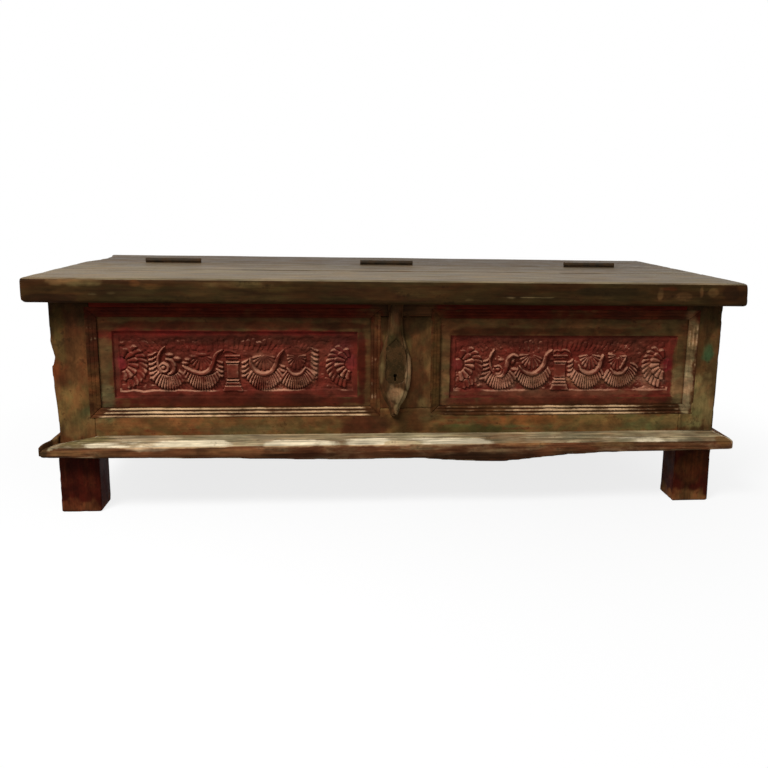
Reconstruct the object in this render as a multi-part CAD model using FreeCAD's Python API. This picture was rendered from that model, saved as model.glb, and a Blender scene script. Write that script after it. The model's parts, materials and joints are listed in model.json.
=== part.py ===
# Painted storage chest on four legs, with a top that hinges open.
# Lengths are in millimetres. X runs to the right, Y to the back and Z up.
# The origin is on the floor, under the middle of the top.
import FreeCAD, Part
import math
import os

Vector = FreeCAD.Vector

# Whole chest
top_length = 1353.0
top_depth = 612.0
chest_height = 453.0
front_overhang = 36.0
side_overhang = 33.5
back_overhang = 12.0
overrun = 5.0

# Top boards
top_thickness = 44.0
top_edge_radius = 5.0
top_under_radius = 7.0
top_left_corner_radius = 8.0
top_right_corner_radius = 6.0
rear_board_depth = 241.0
rear_board_worn_inset = 19.0
rear_board_worn_place = 95.0
lid_front_plank_depth = 205.0
lid_seat_gap = 0.3
lid_tongue_thickness = 10.0
lid_tongue_length = 8.0

# Lid battens
batten_width = 62.0
batten_thickness = 22.0
batten_side_distance = 144.0
batten_front_clearance = 14.0
batten_rear_clearance = 30.0
batten_end_chamfer = 9.0

# Corner posts, whose lower ends are the legs
post_width = 71.0
post_depth = 65.0
post_edge_chamfer = 1.5
foot_edge_chamfer = 1.5
notch_drop = 70.0
notch_length = 53.0
notch_deepest_rise = 15.0
notch_depth = 8.0
notch_reach = 22.0

# Front frame
frame_thickness = 32.0
carcass_bottom = 121.0
top_rail_face_height = 15.0
bottom_rail_face_height = 68.0
left_stile_width = 66.0
left_opening_width = 540.0
muntin_width = 103.0
right_stile_width = 47.0
rebate_lip = 12.0
tenon_thickness = 11.0
tenon_length = 30.0
tenon_shoulder = 5.0
muntin_tenon_length = 8.0
muntin_tenon_width = 60.0

# Front panels, each with a sunk field that holds its carving
panel_recess = 9.0
panel_thickness = 14.0
panel_play = 0.5
field_depth = 5.0
field_side_margin = 26.0
left_field_bottom_margin = 10.0
left_field_top_margin = 25.0
right_field_bottom_margin = 13.0
right_field_top_margin = 34.0

# Reeded mouldings that hold the front panels
reed_count = 3
reed_pitch = 5.3
reed_rise = 1.9
reed_sides = 6
reed_foot = 2.4
reed_step = 2.3

# Plinth moulding round the front and sides
plinth_projection = 34.0
plinth_top = 150.0
plinth_bottom = 122.0
plinth_slope_run = 20.0
plinth_slope_drop = 8.0
plinth_nose_drop = 24.0
plinth_nose_bulge = 5.0
plinth_corner_radius = 9.0
# Each row is a share of half the plinth's length, and of the bow's depth below the plain lower edge
plinth_bow_depth = 19.5
plinth_bow_shares = (
    (-0.96, 0.11), (-0.55, 0.31), (0.0, 0.58), (0.09, 0.62), (0.15, 0.81), (0.235, 0.97), (0.295, 1.0),
    (0.355, 0.83), (0.475, 0.44), (0.59, 0.21), (0.75, 0.12), (0.96, 0.02))
plinth_split_length = 124.0
plinth_split_height = 6.0

# Plain sides and back
side_thickness = 26.0
side_top_rail_height = 56.0
side_bottom_rail_height = 69.0
side_panel_thickness = 13.0
groove_depth = 8.0
back_muntin_width = 90.0

# Floor of the chest
floor_thickness = 18.0
floor_board_count = 5
floor_board_gap = 1.5
floor_play = 0.5
cleat_height = 19.0
cleat_width = 25.0

# Carved boss over the lock, and the iron plate let into it
boss_offset = -21.0
boss_tip_drop = 3.0
boss_width = 63.0
boss_thickness = 17.0
boss_back_thickness = 4.0
boss_front_share = 0.66
boss_outline_steps = 12
# Each row is a share of the boss's length up from its tip, and of its half width
boss_outline_shares = (
    (0.0, 0.20), (0.055, 0.24), (0.12, 0.50), (0.21, 0.82), (0.33, 0.99),
    (0.46, 1.0), (0.57, 0.86), (0.66, 0.62), (0.74, 0.49), (1.0, 0.48))
lock_plate_middle_share = 0.5
lock_plate_length = 88.0
lock_plate_width = 36.0
lock_plate_thickness = 2.5
lock_plate_sink = 4.0
keyhole_rise = 16.0
keyhole_radius = 3.5
keyhole_slot_width = 3.5
keyhole_slot_length = 11.0
keyhole_depth = 10.0

# Hinges
hinge_length = 120.0
hinge_end_distance = 202.0
hinge_shift = -6.0
knuckle_count = 3
knuckle_radius = 4.5
knuckle_gap = 0.3
knuckle_lift = 2.3
knuckle_clearance = 0.5
knuckle_sides = 12
pin_radius = 2.1
pin_clearance = 0.1
leaf_height = 34.0
leaf_thickness = 2.5
leaf_play = 0.3
board_gap = 2.0

# Screws
screw_sides = 8
screw_shank_radius = 2.0
screw_head_radius = 4.2
screw_head_height = 2.2
hinge_screw_length = 24.0
hinge_screw_spacing = 42.0
hinge_screw_drop = 22.0
batten_screw_length = 42.0
batten_screw_spacing = 30.0
batten_screw_end_distance = 40.0

# Places worked out from the sizes above
top_end = top_length / 2
top_front = -top_depth / 2
top_back = top_depth / 2
top_under = chest_height - top_thickness
body_end = top_end - side_overhang
body_front = top_front + front_overhang
body_back = top_back - back_overhang
post_inner_x = body_end - post_width
front_post_back = body_front + post_depth
back_post_front = body_back - post_depth
frame_back = body_front + frame_thickness
side_inner_x = body_end - side_thickness
back_inner_y = body_back - side_thickness
hinge_y = top_back - rear_board_depth - board_gap / 2
hinge_z = chest_height + knuckle_lift + knuckle_radius
panel_front = body_front + panel_recess
panel_back = panel_front + panel_thickness
reed_width = reed_count * reed_pitch
opening_top = top_under - top_rail_face_height
opening_bottom = carcass_bottom + bottom_rail_face_height
left_field_heights = (
    opening_bottom + reed_width + left_field_bottom_margin,
    opening_top - reed_width - left_field_top_margin)
right_field_heights = (
    opening_bottom + reed_width + right_field_bottom_margin,
    opening_top - reed_width - right_field_top_margin)
left_opening = (-body_end + left_stile_width, -body_end + left_stile_width + left_opening_width)
right_opening = (left_opening[1] + muntin_width, body_end - right_stile_width)
boss_middle = (left_opening[1] + right_opening[0]) / 2 + boss_offset
boss_tip = opening_bottom - boss_tip_drop
lock_plate_middle = boss_tip + lock_plate_middle_share * (top_under - boss_tip)
lock_plate_bottom = lock_plate_middle - lock_plate_length / 2
lock_plate_top = lock_plate_middle + lock_plate_length / 2
keyhole_height = lock_plate_bottom + keyhole_rise
batten_spacing = side_inner_x - batten_side_distance
hinge_spacing = top_end - hinge_end_distance
floor_bottom = carcass_bottom + cleat_height
floor_top = floor_bottom + floor_thickness
side_top_rail_bottom = top_under - side_top_rail_height
side_bottom_rail_top = carcass_bottom + side_bottom_rail_height


def across_xz(y):
    """Places a flat point (across, up) in the upright plane at y."""
    return lambda across, up: Vector(across, y, up)


def across_yz(x):
    """Places a flat point (back, up) in the upright plane at x."""
    return lambda back, up: Vector(x, back, up)


def across_xy(z):
    """Places a flat point (across, back) in the level plane at z."""
    return lambda across, back: Vector(across, back, z)


def box_between(x_range, y_range, z_range):
    """A box from the first to the second value of each range."""
    low, high = (Vector(*corner) for corner in zip(x_range, y_range, z_range))
    size = high - low
    return Part.makeBox(size.x, size.y, size.z, low)


def outline_face(place, start, *steps):
    """A face whose border runs from start through the steps and back.

    A step is an end point, or a pair of points for an arc through the first to the second.
    """
    edges = []
    here = place(*start)
    for step in steps + (start,):
        if isinstance(step[0], tuple):
            through, end = (place(*point) for point in step)
            edges.append(Part.Arc(here, through, end).toShape())
        else:
            end = place(*step)
            edges.append(Part.makeLine(here, end))
        here = end
    return Part.Face(Part.Wire(edges))


def mirror_x(shape):
    """The shape on the other side of the chest's middle."""
    return shape.mirror(Vector(0, 0, 0), Vector(1, 0, 0))


def straight_edges(shape, direction, near, reach):
    """Edges that run along a direction, with their middle within reach of a point across it."""
    found = []
    for edge in shape.Edges:
        run = edge.Vertexes[-1].Point - edge.Vertexes[0].Point
        if run.Length < reach or run.cross(direction).Length > reach * reach:
            continue
        offset = edge.CenterOfMass - near
        across = offset - direction * offset.dot(direction)
        if across.Length < reach:
            found.append(edge)
    return found


# Front openings and their mouldings


def opening_prism(x_range, inset, y_range):
    """A block that fills a front opening, smaller by inset on all four sides."""
    x_inset = (x_range[0] + inset, x_range[1] - inset)
    z_inset = (opening_bottom + inset, opening_top - inset)
    return box_between(x_inset, y_range, z_inset)


def reed_profile(place):
    """Section of the moulding: half-round reeds that step down from the frame to the panel."""
    steps = [(0.0, reed_foot + (reed_count - 1) * reed_step)]
    for reed in range(reed_count):
        shoulder = reed_foot + (reed_count - 1 - reed) * reed_step
        near = reed * reed_pitch
        far = near + reed_pitch
        if reed:
            steps.append((near, shoulder))
        for side in range(1, reed_sides):
            angle = math.pi * side / reed_sides
            across = near + reed_pitch * (1 - math.cos(angle)) / 2
            steps.append((across, shoulder + reed_rise * math.sin(angle)))
        steps.append((far, shoulder))
    steps.append((reed_width, 0.0))
    return outline_face(place, (0.0, 0.0), *steps)


def reed_strip(start, end, inward):
    """One mitred length of moulding. Start, end and inward are flat vectors (across, up)."""
    run = end - start
    along = Vector(run).normalize()

    def section(width, height):
        flat = start + inward * width
        return Vector(flat.x, panel_front - height, flat.y)

    strip = reed_profile(section).extrude(Vector(run.x, 0, run.y))
    near_mitre = start + (inward + along) * reed_width
    far_mitre = end + (inward - along) * reed_width
    corners = [(point.x, point.y) for point in (start, end, far_mitre, near_mitre)]
    plan = outline_face(across_xz(body_front), *corners)
    return strip.common(plan.extrude(Vector(0, panel_recess, 0)))


def panel_reeds(x_range):
    """The four mitred mouldings round one front panel."""
    low_left = Vector(x_range[0], opening_bottom, 0)
    low_right = Vector(x_range[1], opening_bottom, 0)
    high_right = Vector(x_range[1], opening_top, 0)
    high_left = Vector(x_range[0], opening_top, 0)
    across = Vector(1, 0, 0)
    up = Vector(0, 1, 0)
    return {
        "bottom": reed_strip(low_left, low_right, up),
        "right": reed_strip(low_right, high_right, -across),
        "top": reed_strip(high_right, high_left, -up),
        "left": reed_strip(high_left, low_left, across)}


def front_panel(x_range, field_heights):
    """A panel with its sunk field, seated between the mouldings and the rebate."""
    panel = opening_prism(x_range, panel_play, (panel_front, panel_back))
    margin = reed_width + field_side_margin
    field_x = (x_range[0] + margin, x_range[1] - margin)
    field_y = (panel_front - overrun, panel_front + field_depth)
    return panel.cut(box_between(field_x, field_y, field_heights))


# Frame members


def tenon(x_range, y_range, z_range):
    """A tenon block, shorter than its member by the shoulder above and below."""
    heights = (z_range[0] + tenon_shoulder, z_range[1] - tenon_shoulder)
    return box_between(x_range, y_range, heights)


def rail_between_posts(y_range, z_range):
    """A long rail with a tenon in the middle of its thickness at each end."""
    middle = (y_range[0] + y_range[1]) / 2
    tenon_y = (middle - tenon_thickness / 2, middle + tenon_thickness / 2)
    rail = box_between((-post_inner_x, post_inner_x), y_range, z_range)
    tenon_end = post_inner_x + tenon_length
    return rail.fuse(tenon((-tenon_end, tenon_end), tenon_y, z_range)).removeSplitter()


def side_rail(z_range):
    """A rail of the right side, tenoned into the posts before and behind it."""
    middle = body_end - side_thickness / 2
    tenon_x = (middle - tenon_thickness / 2, middle + tenon_thickness / 2)
    rail = box_between((side_inner_x, body_end), (front_post_back, back_post_front), z_range)
    tenon_y = (front_post_back - groove_depth, back_post_front + groove_depth)
    return rail.fuse(tenon(tenon_x, tenon_y, z_range)).removeSplitter()


def muntin_between(x_range, y_range, lower_rail, upper_rail):
    """An upright between two rails, shouldered to them, with a stub tenon into each."""
    heights = (lower_rail.BoundBox.ZMin, upper_rail.BoundBox.ZMax)
    upright = box_between(x_range, y_range, heights).cut(lower_rail).cut(upper_rail)
    thickness_middle = (y_range[0] + y_range[1]) / 2
    tenon_y = (thickness_middle - tenon_thickness / 2, thickness_middle + tenon_thickness / 2)
    width_middle = (x_range[0] + x_range[1]) / 2
    tenon_x = (width_middle - muntin_tenon_width / 2, width_middle + muntin_tenon_width / 2)
    tenon_z = (
        lower_rail.BoundBox.ZMax - muntin_tenon_length,
        upper_rail.BoundBox.ZMin + muntin_tenon_length)
    stub = box_between(tenon_x, tenon_y, tenon_z)
    return upright.fuse(stub).removeSplitter(), stub


def worn_notch():
    """The chip in the outer edge of the front left post, deepest at the front."""
    notch_top = top_under - notch_drop
    notch_bottom = notch_top - notch_length
    outline = (
        (-body_end - notch_depth, notch_bottom),
        (-body_end + notch_depth / 2, notch_bottom),
        (-body_end + notch_depth, notch_bottom + notch_deepest_rise),
        (-body_end, notch_top),
        (-body_end - notch_depth, notch_top))
    front = outline_face(across_xz(body_front - post_edge_chamfer), *outline).OuterWire
    back = outline_face(across_xz(body_front + notch_reach), *outline).OuterWire
    back.translate(Vector(-notch_depth, 0, 0))
    return Part.makeLoft([front, back], True, True)


def corner_post(x_range, y_range, outer):
    """A post from the floor to the top, with its outer edge and its foot chamfered."""
    post = box_between(x_range, y_range, (0.0, top_under))
    edges = straight_edges(post, Vector(0, 0, 1), Vector(outer[0], outer[1], 0), post_edge_chamfer)
    post = post.makeChamfer(post_edge_chamfer, edges)
    foot_edges = [edge for edge in post.Edges if edge.BoundBox.ZMax < foot_edge_chamfer]
    return post.makeChamfer(foot_edge_chamfer, foot_edges)


# Carcass


def front_frame():
    """Rails, muntin, panels and mouldings of the carved front."""
    front_y = (body_front, frame_back)
    top_rail = rail_between_posts(front_y, (opening_top - rebate_lip, top_under))
    bottom_rail = rail_between_posts(front_y, (carcass_bottom, opening_bottom + rebate_lip))
    muntin_x = (left_opening[1] - rebate_lip, right_opening[0] + rebate_lip)
    muntin, stub = muntin_between(muntin_x, front_y, bottom_rail, top_rail)
    openings = [opening_prism(x, 0.0, (body_front, panel_back)) for x in (left_opening, right_opening)]
    pieces = {
        "front_top_rail": top_rail.cut(stub),
        "front_bottom_rail": bottom_rail.cut(stub),
        "front_muntin": muntin}
    for name in pieces:
        for opening in openings:
            pieces[name] = pieces[name].cut(opening)
    pieces["front_panel_left"] = front_panel(left_opening, left_field_heights)
    pieces["front_panel_right"] = front_panel(right_opening, right_field_heights)
    for side, x_range in (("left", left_opening), ("right", right_opening)):
        reeds = panel_reeds(x_range)
        pieces["reeds_" + side + "_panel"] = Part.makeCompound(list(reeds.values()))
    return pieces, openings


def right_side():
    """Two rails and a plain grooved panel."""
    top_rail = side_rail((side_top_rail_bottom, top_under))
    bottom_rail = side_rail((carcass_bottom, side_bottom_rail_top))
    middle = body_end - side_thickness / 2
    panel = box_between(
        (middle - side_panel_thickness / 2, middle + side_panel_thickness / 2),
        (front_post_back - groove_depth, back_post_front + groove_depth),
        (side_bottom_rail_top - groove_depth, side_top_rail_bottom + groove_depth))
    for rail in (top_rail, bottom_rail):
        panel = panel.cut(box_between(
            (middle - side_thickness, middle + side_thickness),
            (front_post_back - tenon_length, front_post_back),
            (rail.BoundBox.ZMin, rail.BoundBox.ZMax)))
        panel = panel.cut(box_between(
            (middle - side_thickness, middle + side_thickness),
            (back_post_front, back_post_front + tenon_length),
            (rail.BoundBox.ZMin, rail.BoundBox.ZMax)))
    return {"top_rail": top_rail.cut(panel), "bottom_rail": bottom_rail.cut(panel), "panel": panel}


def back_frame():
    """Two rails, a muntin and two plain panels at the back."""
    back_y = (back_inner_y, body_back)
    top_rail = rail_between_posts(back_y, (side_top_rail_bottom, top_under))
    bottom_rail = rail_between_posts(back_y, (carcass_bottom, side_bottom_rail_top))
    half_muntin = back_muntin_width / 2
    muntin, stub = muntin_between((-half_muntin, half_muntin), back_y, bottom_rail, top_rail)
    middle = (back_inner_y + body_back) / 2
    panel_y = (middle - side_panel_thickness / 2, middle + side_panel_thickness / 2)
    panel_z = (side_bottom_rail_top - groove_depth, side_top_rail_bottom + groove_depth)
    left_panel = box_between((-post_inner_x, -half_muntin + groove_depth), panel_y, panel_z)
    left_panel = left_panel.fuse(box_between(
        (-post_inner_x - groove_depth, -post_inner_x),
        panel_y,
        (side_bottom_rail_top, side_top_rail_bottom))).removeSplitter()
    pieces = {
        "back_top_rail": top_rail.cut(stub),
        "back_bottom_rail": bottom_rail.cut(stub),
        "back_muntin": muntin}
    panels = {"back_panel_left": left_panel.cut(stub), "back_panel_right": mirror_x(left_panel.cut(stub))}
    for name in pieces:
        for panel in panels.values():
            pieces[name] = pieces[name].cut(panel)
    pieces.update(panels)
    return pieces


def corner_posts(cutters):
    """The four posts, mortised by every piece that enters them."""
    left_x = (-body_end, -post_inner_x)
    right_x = (post_inner_x, body_end)
    front_y = (body_front, front_post_back)
    back_y = (back_post_front, body_back)
    posts = {
        "corner_post_front_left": corner_post(left_x, front_y, (-body_end, body_front)).cut(worn_notch()),
        "corner_post_front_right": corner_post(right_x, front_y, (body_end, body_front)),
        "corner_post_back_left": corner_post(left_x, back_y, (-body_end, body_back)),
        "corner_post_back_right": corner_post(right_x, back_y, (body_end, body_back))}
    for name in posts:
        for cutter in cutters:
            if posts[name].BoundBox.intersect(cutter.BoundBox):
                posts[name] = posts[name].cut(cutter)
    return posts


def floor_pieces(posts):
    """Boards from front to back on two cleats, notched round the posts."""
    pieces = {}
    inner_front = frame_back + floor_play
    inner_back = back_inner_y - floor_play
    inner_x = side_inner_x - floor_play
    cleat_x = (-post_inner_x, post_inner_x)
    cleat_z = (carcass_bottom, floor_bottom)
    pieces["floor_cleat_front"] = box_between(cleat_x, (frame_back, frame_back + cleat_width), cleat_z)
    pieces["floor_cleat_back"] = box_between(cleat_x, (back_inner_y - cleat_width, back_inner_y), cleat_z)
    pitch = 2 * inner_x / floor_board_count
    for number in range(floor_board_count):
        left = -inner_x + number * pitch + floor_board_gap / 2
        right = left + pitch - floor_board_gap
        board = box_between((left, right), (inner_front, inner_back), (floor_bottom, floor_top))
        for post in posts.values():
            notch = box_between(
                (post.BoundBox.XMin - floor_play, post.BoundBox.XMax + floor_play),
                (post.BoundBox.YMin - floor_play, post.BoundBox.YMax + floor_play),
                (floor_bottom, floor_top))
            if board.BoundBox.intersect(notch.BoundBox):
                board = board.cut(notch)
        pieces["floor_board_" + str(number + 1)] = board
    return pieces


# Plinth


def plinth_section(place, bottom):
    """Section of the moulding: a sloping top, a rounded nose and an upright face."""
    slope_end = (plinth_slope_run, plinth_top - plinth_slope_drop)
    nose_end = (plinth_projection, plinth_top - plinth_nose_drop)
    chord = (nose_end[0] - slope_end[0], nose_end[1] - slope_end[1])
    chord_length = math.hypot(*chord)
    nose_through = (
        slope_end[0] + chord[0] / 2 - chord[1] / chord_length * plinth_nose_bulge,
        slope_end[1] + chord[1] / 2 + chord[0] / chord_length * plinth_nose_bulge)
    return outline_face(
        place, (0.0, bottom), (0.0, plinth_top), slope_end, (nose_through, nose_end),
        (plinth_projection, bottom))


def plinth_front():
    """The front length, with a bowed lower edge and a split left end."""
    bow_bottom = plinth_bottom - plinth_bow_depth
    outer_x = body_end + plinth_projection
    outer_y = body_front - plinth_projection

    def place(out, up):
        return Vector(-outer_x, body_front - out, up)

    moulding = plinth_section(place, bow_bottom).extrude(Vector(2 * outer_x, 0, 0))
    plan = outline_face(
        across_xy(bow_bottom), (-outer_x, outer_y), (outer_x, outer_y),
        (body_end, body_front), (-body_end, body_front))
    moulding = moulding.common(plan.extrude(Vector(0, 0, plinth_top - bow_bottom)))
    edge_points = [
        Vector(place_share * outer_x, outer_y - overrun, plinth_bottom - depth_share * plinth_bow_depth)
        for place_share, depth_share in plinth_bow_shares]
    bow = Part.BSplineCurve()
    bow.interpolate(Points=edge_points)
    below = bow_bottom - overrun
    corners = [
        edge_points[-1],
        Vector(outer_x + overrun, outer_y - overrun, plinth_bottom),
        Vector(outer_x + overrun, outer_y - overrun, below),
        Vector(-outer_x - overrun, outer_y - overrun, below),
        Vector(-outer_x - overrun, outer_y - overrun, plinth_bottom),
        edge_points[0]]
    waste_edges = [bow.toShape()] + [Part.makeLine(*pair) for pair in zip(corners, corners[1:])]
    waste = Part.Face(Part.Wire(waste_edges)).extrude(Vector(0, plinth_projection + 2 * overrun, 0))
    split = outline_face(
        across_xz(outer_y - overrun),
        (-outer_x - overrun, plinth_bottom + plinth_split_height),
        (-outer_x + plinth_split_length, plinth_top + overrun / 2),
        (-outer_x - overrun, plinth_top + overrun / 2))
    moulding = moulding.cut(waste).cut(split.extrude(Vector(0, plinth_projection + 2 * overrun, 0)))
    return moulding.common(plinth_footprint(bow_bottom))


def plinth_footprint(low):
    """The ground that the plinth covers, with rounded front corners."""
    outer_x = body_end + plinth_projection
    outer_y = body_front - plinth_projection
    block = box_between((-outer_x, outer_x), (outer_y, body_back), (low, plinth_top))
    edges = []
    for corner_x in (-outer_x, outer_x):
        corner = Vector(corner_x, outer_y, 0)
        edges += straight_edges(block, Vector(0, 0, 1), corner, plinth_corner_radius)
    return block.makeFillet(plinth_corner_radius, edges)


def plinth_right():
    """The right length, mitred at the front and square at the back."""
    outer_x = body_end + plinth_projection
    outer_y = body_front - plinth_projection

    def place(out, up):
        return Vector(body_end + out, outer_y, up)

    moulding = plinth_section(place, plinth_bottom).extrude(Vector(0, body_back - outer_y, 0))
    plan = outline_face(
        across_xy(plinth_bottom), (body_end, body_front), (outer_x, outer_y),
        (outer_x, body_back), (body_end, body_back))
    moulding = moulding.common(plan.extrude(Vector(0, 0, plinth_top - plinth_bottom)))
    return moulding.common(plinth_footprint(plinth_bottom))


# Lock boss and plate


def boss_edge(width_scale, bottom, top, y):
    """Outline of the boss: a smooth curve up each side between a flat tip and a flat neck."""
    rows = [
        (width_share * width_scale * boss_width / 2, bottom + height_share * (top - bottom))
        for height_share, width_share in boss_outline_shares]
    curve = Part.BSplineCurve()
    curve.interpolate(Points=[Vector(half, y, up) for half, up in rows])
    one_side = curve.discretize(Number=boss_outline_steps)
    right = [Vector(boss_middle + point.x, y, point.z) for point in one_side]
    left = [Vector(boss_middle - point.x, y, point.z) for point in reversed(one_side)]
    return Part.makePolygon(right + left + right[:1])


def lock_plate_face(y):
    """Outline of the iron plate: a rounded foot, straight sides and a pointed top."""
    half = lock_plate_width / 2
    shoulder = lock_plate_top - half
    low_side = lock_plate_bottom + half / 2
    return outline_face(
        across_xz(y), (boss_middle + half, low_side),
        ((boss_middle, lock_plate_bottom), (boss_middle - half, low_side)),
        (boss_middle - half, shoulder), (boss_middle, lock_plate_top), (boss_middle + half, shoulder))


def keyhole_cutter(y_front, depth):
    """A round hole with a slot below it."""
    into = Vector(0, 1, 0)
    hole = Part.makeCylinder(keyhole_radius, depth, Vector(boss_middle, y_front, keyhole_height), into)
    slot = box_between(
        (boss_middle - keyhole_slot_width / 2, boss_middle + keyhole_slot_width / 2),
        (y_front, y_front + depth),
        (keyhole_height - keyhole_slot_length, keyhole_height))
    return hole.fuse(slot)


def lock_pieces():
    """The leaf-shaped boss with its bevelled sides, and the plate sunk into its face."""
    boss_front = body_front - boss_thickness
    bevel_start = body_front - boss_back_thickness
    heights = (boss_tip, top_under)
    base = Part.Face(boss_edge(1.0, *heights, body_front))
    foot = base.extrude(Vector(0, -boss_back_thickness, 0))
    bevel_rise = (boss_thickness - boss_back_thickness) / 2
    sections = [
        boss_edge(1.0, *heights, bevel_start),
        boss_edge(boss_front_share, heights[0] + bevel_rise, heights[1], boss_front)]
    boss = foot.fuse(Part.makeLoft(sections, True, True)).removeSplitter()
    plate_front = boss_front + lock_plate_sink - lock_plate_thickness
    recess = lock_plate_face(boss_front - overrun).extrude(Vector(0, overrun + lock_plate_sink, 0))
    keyhole = keyhole_cutter(plate_front, lock_plate_thickness + keyhole_depth)
    plate = lock_plate_face(plate_front).extrude(Vector(0, lock_plate_thickness, 0))
    return {"lock_boss": boss.cut(recess).cut(keyhole), "lock_plate": plate.cut(keyhole)}


# Top boards and battens


def top_section(y_range, front_rounded, back_rounded):
    """Section of a top board, with its outer long edges rounded."""
    front, back = y_range
    over = chest_height
    corner = 1 - math.sqrt(0.5)
    edge_inset = top_edge_radius * corner
    under_inset = top_under_radius * corner
    start = (front, top_under)
    steps = [(front, over)]
    if front_rounded:
        start = (front + top_under_radius, top_under)
        under_through = (front + under_inset, top_under + under_inset)
        over_through = (front + edge_inset, over - edge_inset)
        steps = [
            (under_through, (front, top_under + top_under_radius)),
            (front, over - top_edge_radius),
            (over_through, (front + top_edge_radius, over))]
    if back_rounded:
        over_through = (back - edge_inset, over - edge_inset)
        steps.append((back - top_edge_radius, over))
        steps.append((over_through, (back, over - top_edge_radius)))
    else:
        steps.append((back, over))
    steps.append((back, top_under))
    return outline_face(across_yz(-top_end), start, *steps)


def top_length_outline():
    """Front view of the top, with worn round corners, as a block through its whole depth."""
    corner = 1 - math.sqrt(0.5)
    left = top_left_corner_radius
    right = top_right_corner_radius
    small = top_edge_radius
    over = chest_height
    left_through = (-top_end + left * corner, top_under + left * corner)
    right_through = (top_end - right * corner, top_under + right * corner)
    upper_right_through = (top_end - small * corner, over - small * corner)
    upper_left_through = (-top_end + small * corner, over - small * corner)
    face = outline_face(
        across_xz(top_front - overrun),
        (-top_end, top_under + left),
        (left_through, (-top_end + left, top_under)),
        (top_end - right, top_under),
        (right_through, (top_end, top_under + right)),
        (top_end, over - small),
        (upper_right_through, (top_end - small, over)),
        (-top_end + small, over),
        (upper_left_through, (-top_end, over - small)))
    return face.extrude(Vector(0, top_depth + 2 * overrun, 0))


def top_boards():
    """The two planks of the lid and the fixed board behind them."""
    whole = top_length_outline()
    seam = top_front + lid_front_plank_depth
    lid_back = hinge_y - board_gap / 2
    front = top_section((top_front, seam), True, False).extrude(Vector(top_length, 0, 0)).common(whole)
    rear = top_section((seam, lid_back), False, False).extrude(Vector(top_length, 0, 0)).common(whole)
    fixed_y = (hinge_y + board_gap / 2, top_back)
    fixed = top_section(fixed_y, False, True).extrude(Vector(top_length, 0, 0)).common(whole)
    middle = (top_under + chest_height) / 2
    tongue = box_between(
        (-top_end + top_left_corner_radius, top_end - top_left_corner_radius),
        (seam - lid_tongue_length, seam),
        (middle - lid_tongue_thickness / 2, middle + lid_tongue_thickness / 2))
    front = front.cut(tongue)
    rear = rear.fuse(tongue).removeSplitter()
    seat = box_between(
        (-top_end, top_end), (top_front, hinge_y), (top_under - overrun, top_under + lid_seat_gap))
    return {
        "lid_front_plank": front.cut(seat),
        "lid_rear_plank": rear.cut(seat),
        "rear_top_board": fixed.cut(worn_board_end(fixed_y))}


def worn_board_end(y_range):
    """The waste outside the hollow worn into the fixed board's left end."""
    deepest = y_range[0] + rear_board_worn_place
    curve = Part.BSplineCurve()
    curve.interpolate(Points=[
        Vector(-top_end, y_range[0], top_under),
        Vector(-top_end + rear_board_worn_inset, deepest, top_under),
        Vector(-top_end, y_range[1], top_under)])
    close = Part.makeLine(curve.EndPoint, curve.StartPoint)
    return Part.Face(Part.Wire([curve.toShape(), close])).extrude(Vector(0, 0, top_thickness))


def lid_batten(x_middle):
    """A batten under the lid, chamfered at both ends."""
    under = top_under + lid_seat_gap
    low = under - batten_thickness
    front = frame_back + batten_front_clearance
    back = hinge_y - batten_rear_clearance
    side = outline_face(
        across_yz(x_middle - batten_width / 2),
        (front, under), (front, low + batten_end_chamfer), (front + batten_end_chamfer, low),
        (back - batten_end_chamfer, low), (back, low + batten_end_chamfer), (back, under))
    return side.extrude(Vector(batten_width, 0, 0))


# Screws


def ring(centre, radius, direction, sides):
    """A regular polygon round a line along one axis, with its flats at the given radius."""
    across = Vector(direction.y, direction.z, direction.x)
    other = direction.cross(across)
    reach = radius / math.cos(math.pi / sides)
    corners = []
    for number in range(sides + 1):
        angle = 2 * math.pi * (number % sides) / sides
        corners.append(centre + across * reach * math.cos(angle) + other * reach * math.sin(angle))
    return Part.makePolygon(corners)


def rod(centre, radius, direction, length, sides):
    """A straight rod with many flat sides."""
    return Part.Face(ring(centre, radius, direction, sides)).extrude(direction * length)


def screw(tip_direction, head_centre, length):
    """A countersunk screw, whose flat head face is centred on head_centre."""
    shank_start = head_centre + tip_direction * screw_head_height
    head = Part.makeLoft(
        [ring(head_centre, screw_head_radius, tip_direction, screw_sides),
         ring(shank_start, screw_shank_radius, tip_direction, screw_sides)], True, True)
    shank = rod(
        shank_start, screw_shank_radius, tip_direction, length - screw_head_height, screw_sides)
    return head.fuse(shank).removeSplitter()


def batten_screws(x_middle):
    """Screws up through one batten into both planks."""
    low = top_under + lid_seat_gap - batten_thickness
    front = frame_back + batten_front_clearance + batten_screw_end_distance
    back = hinge_y - batten_rear_clearance - batten_screw_end_distance
    places = [
        Vector(x_middle + side * batten_screw_spacing / 2, y, low)
        for y in (front, back) for side in (-1, 1)]
    return [screw(Vector(0, 0, 1), place, batten_screw_length) for place in places]


# Hinges


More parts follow.
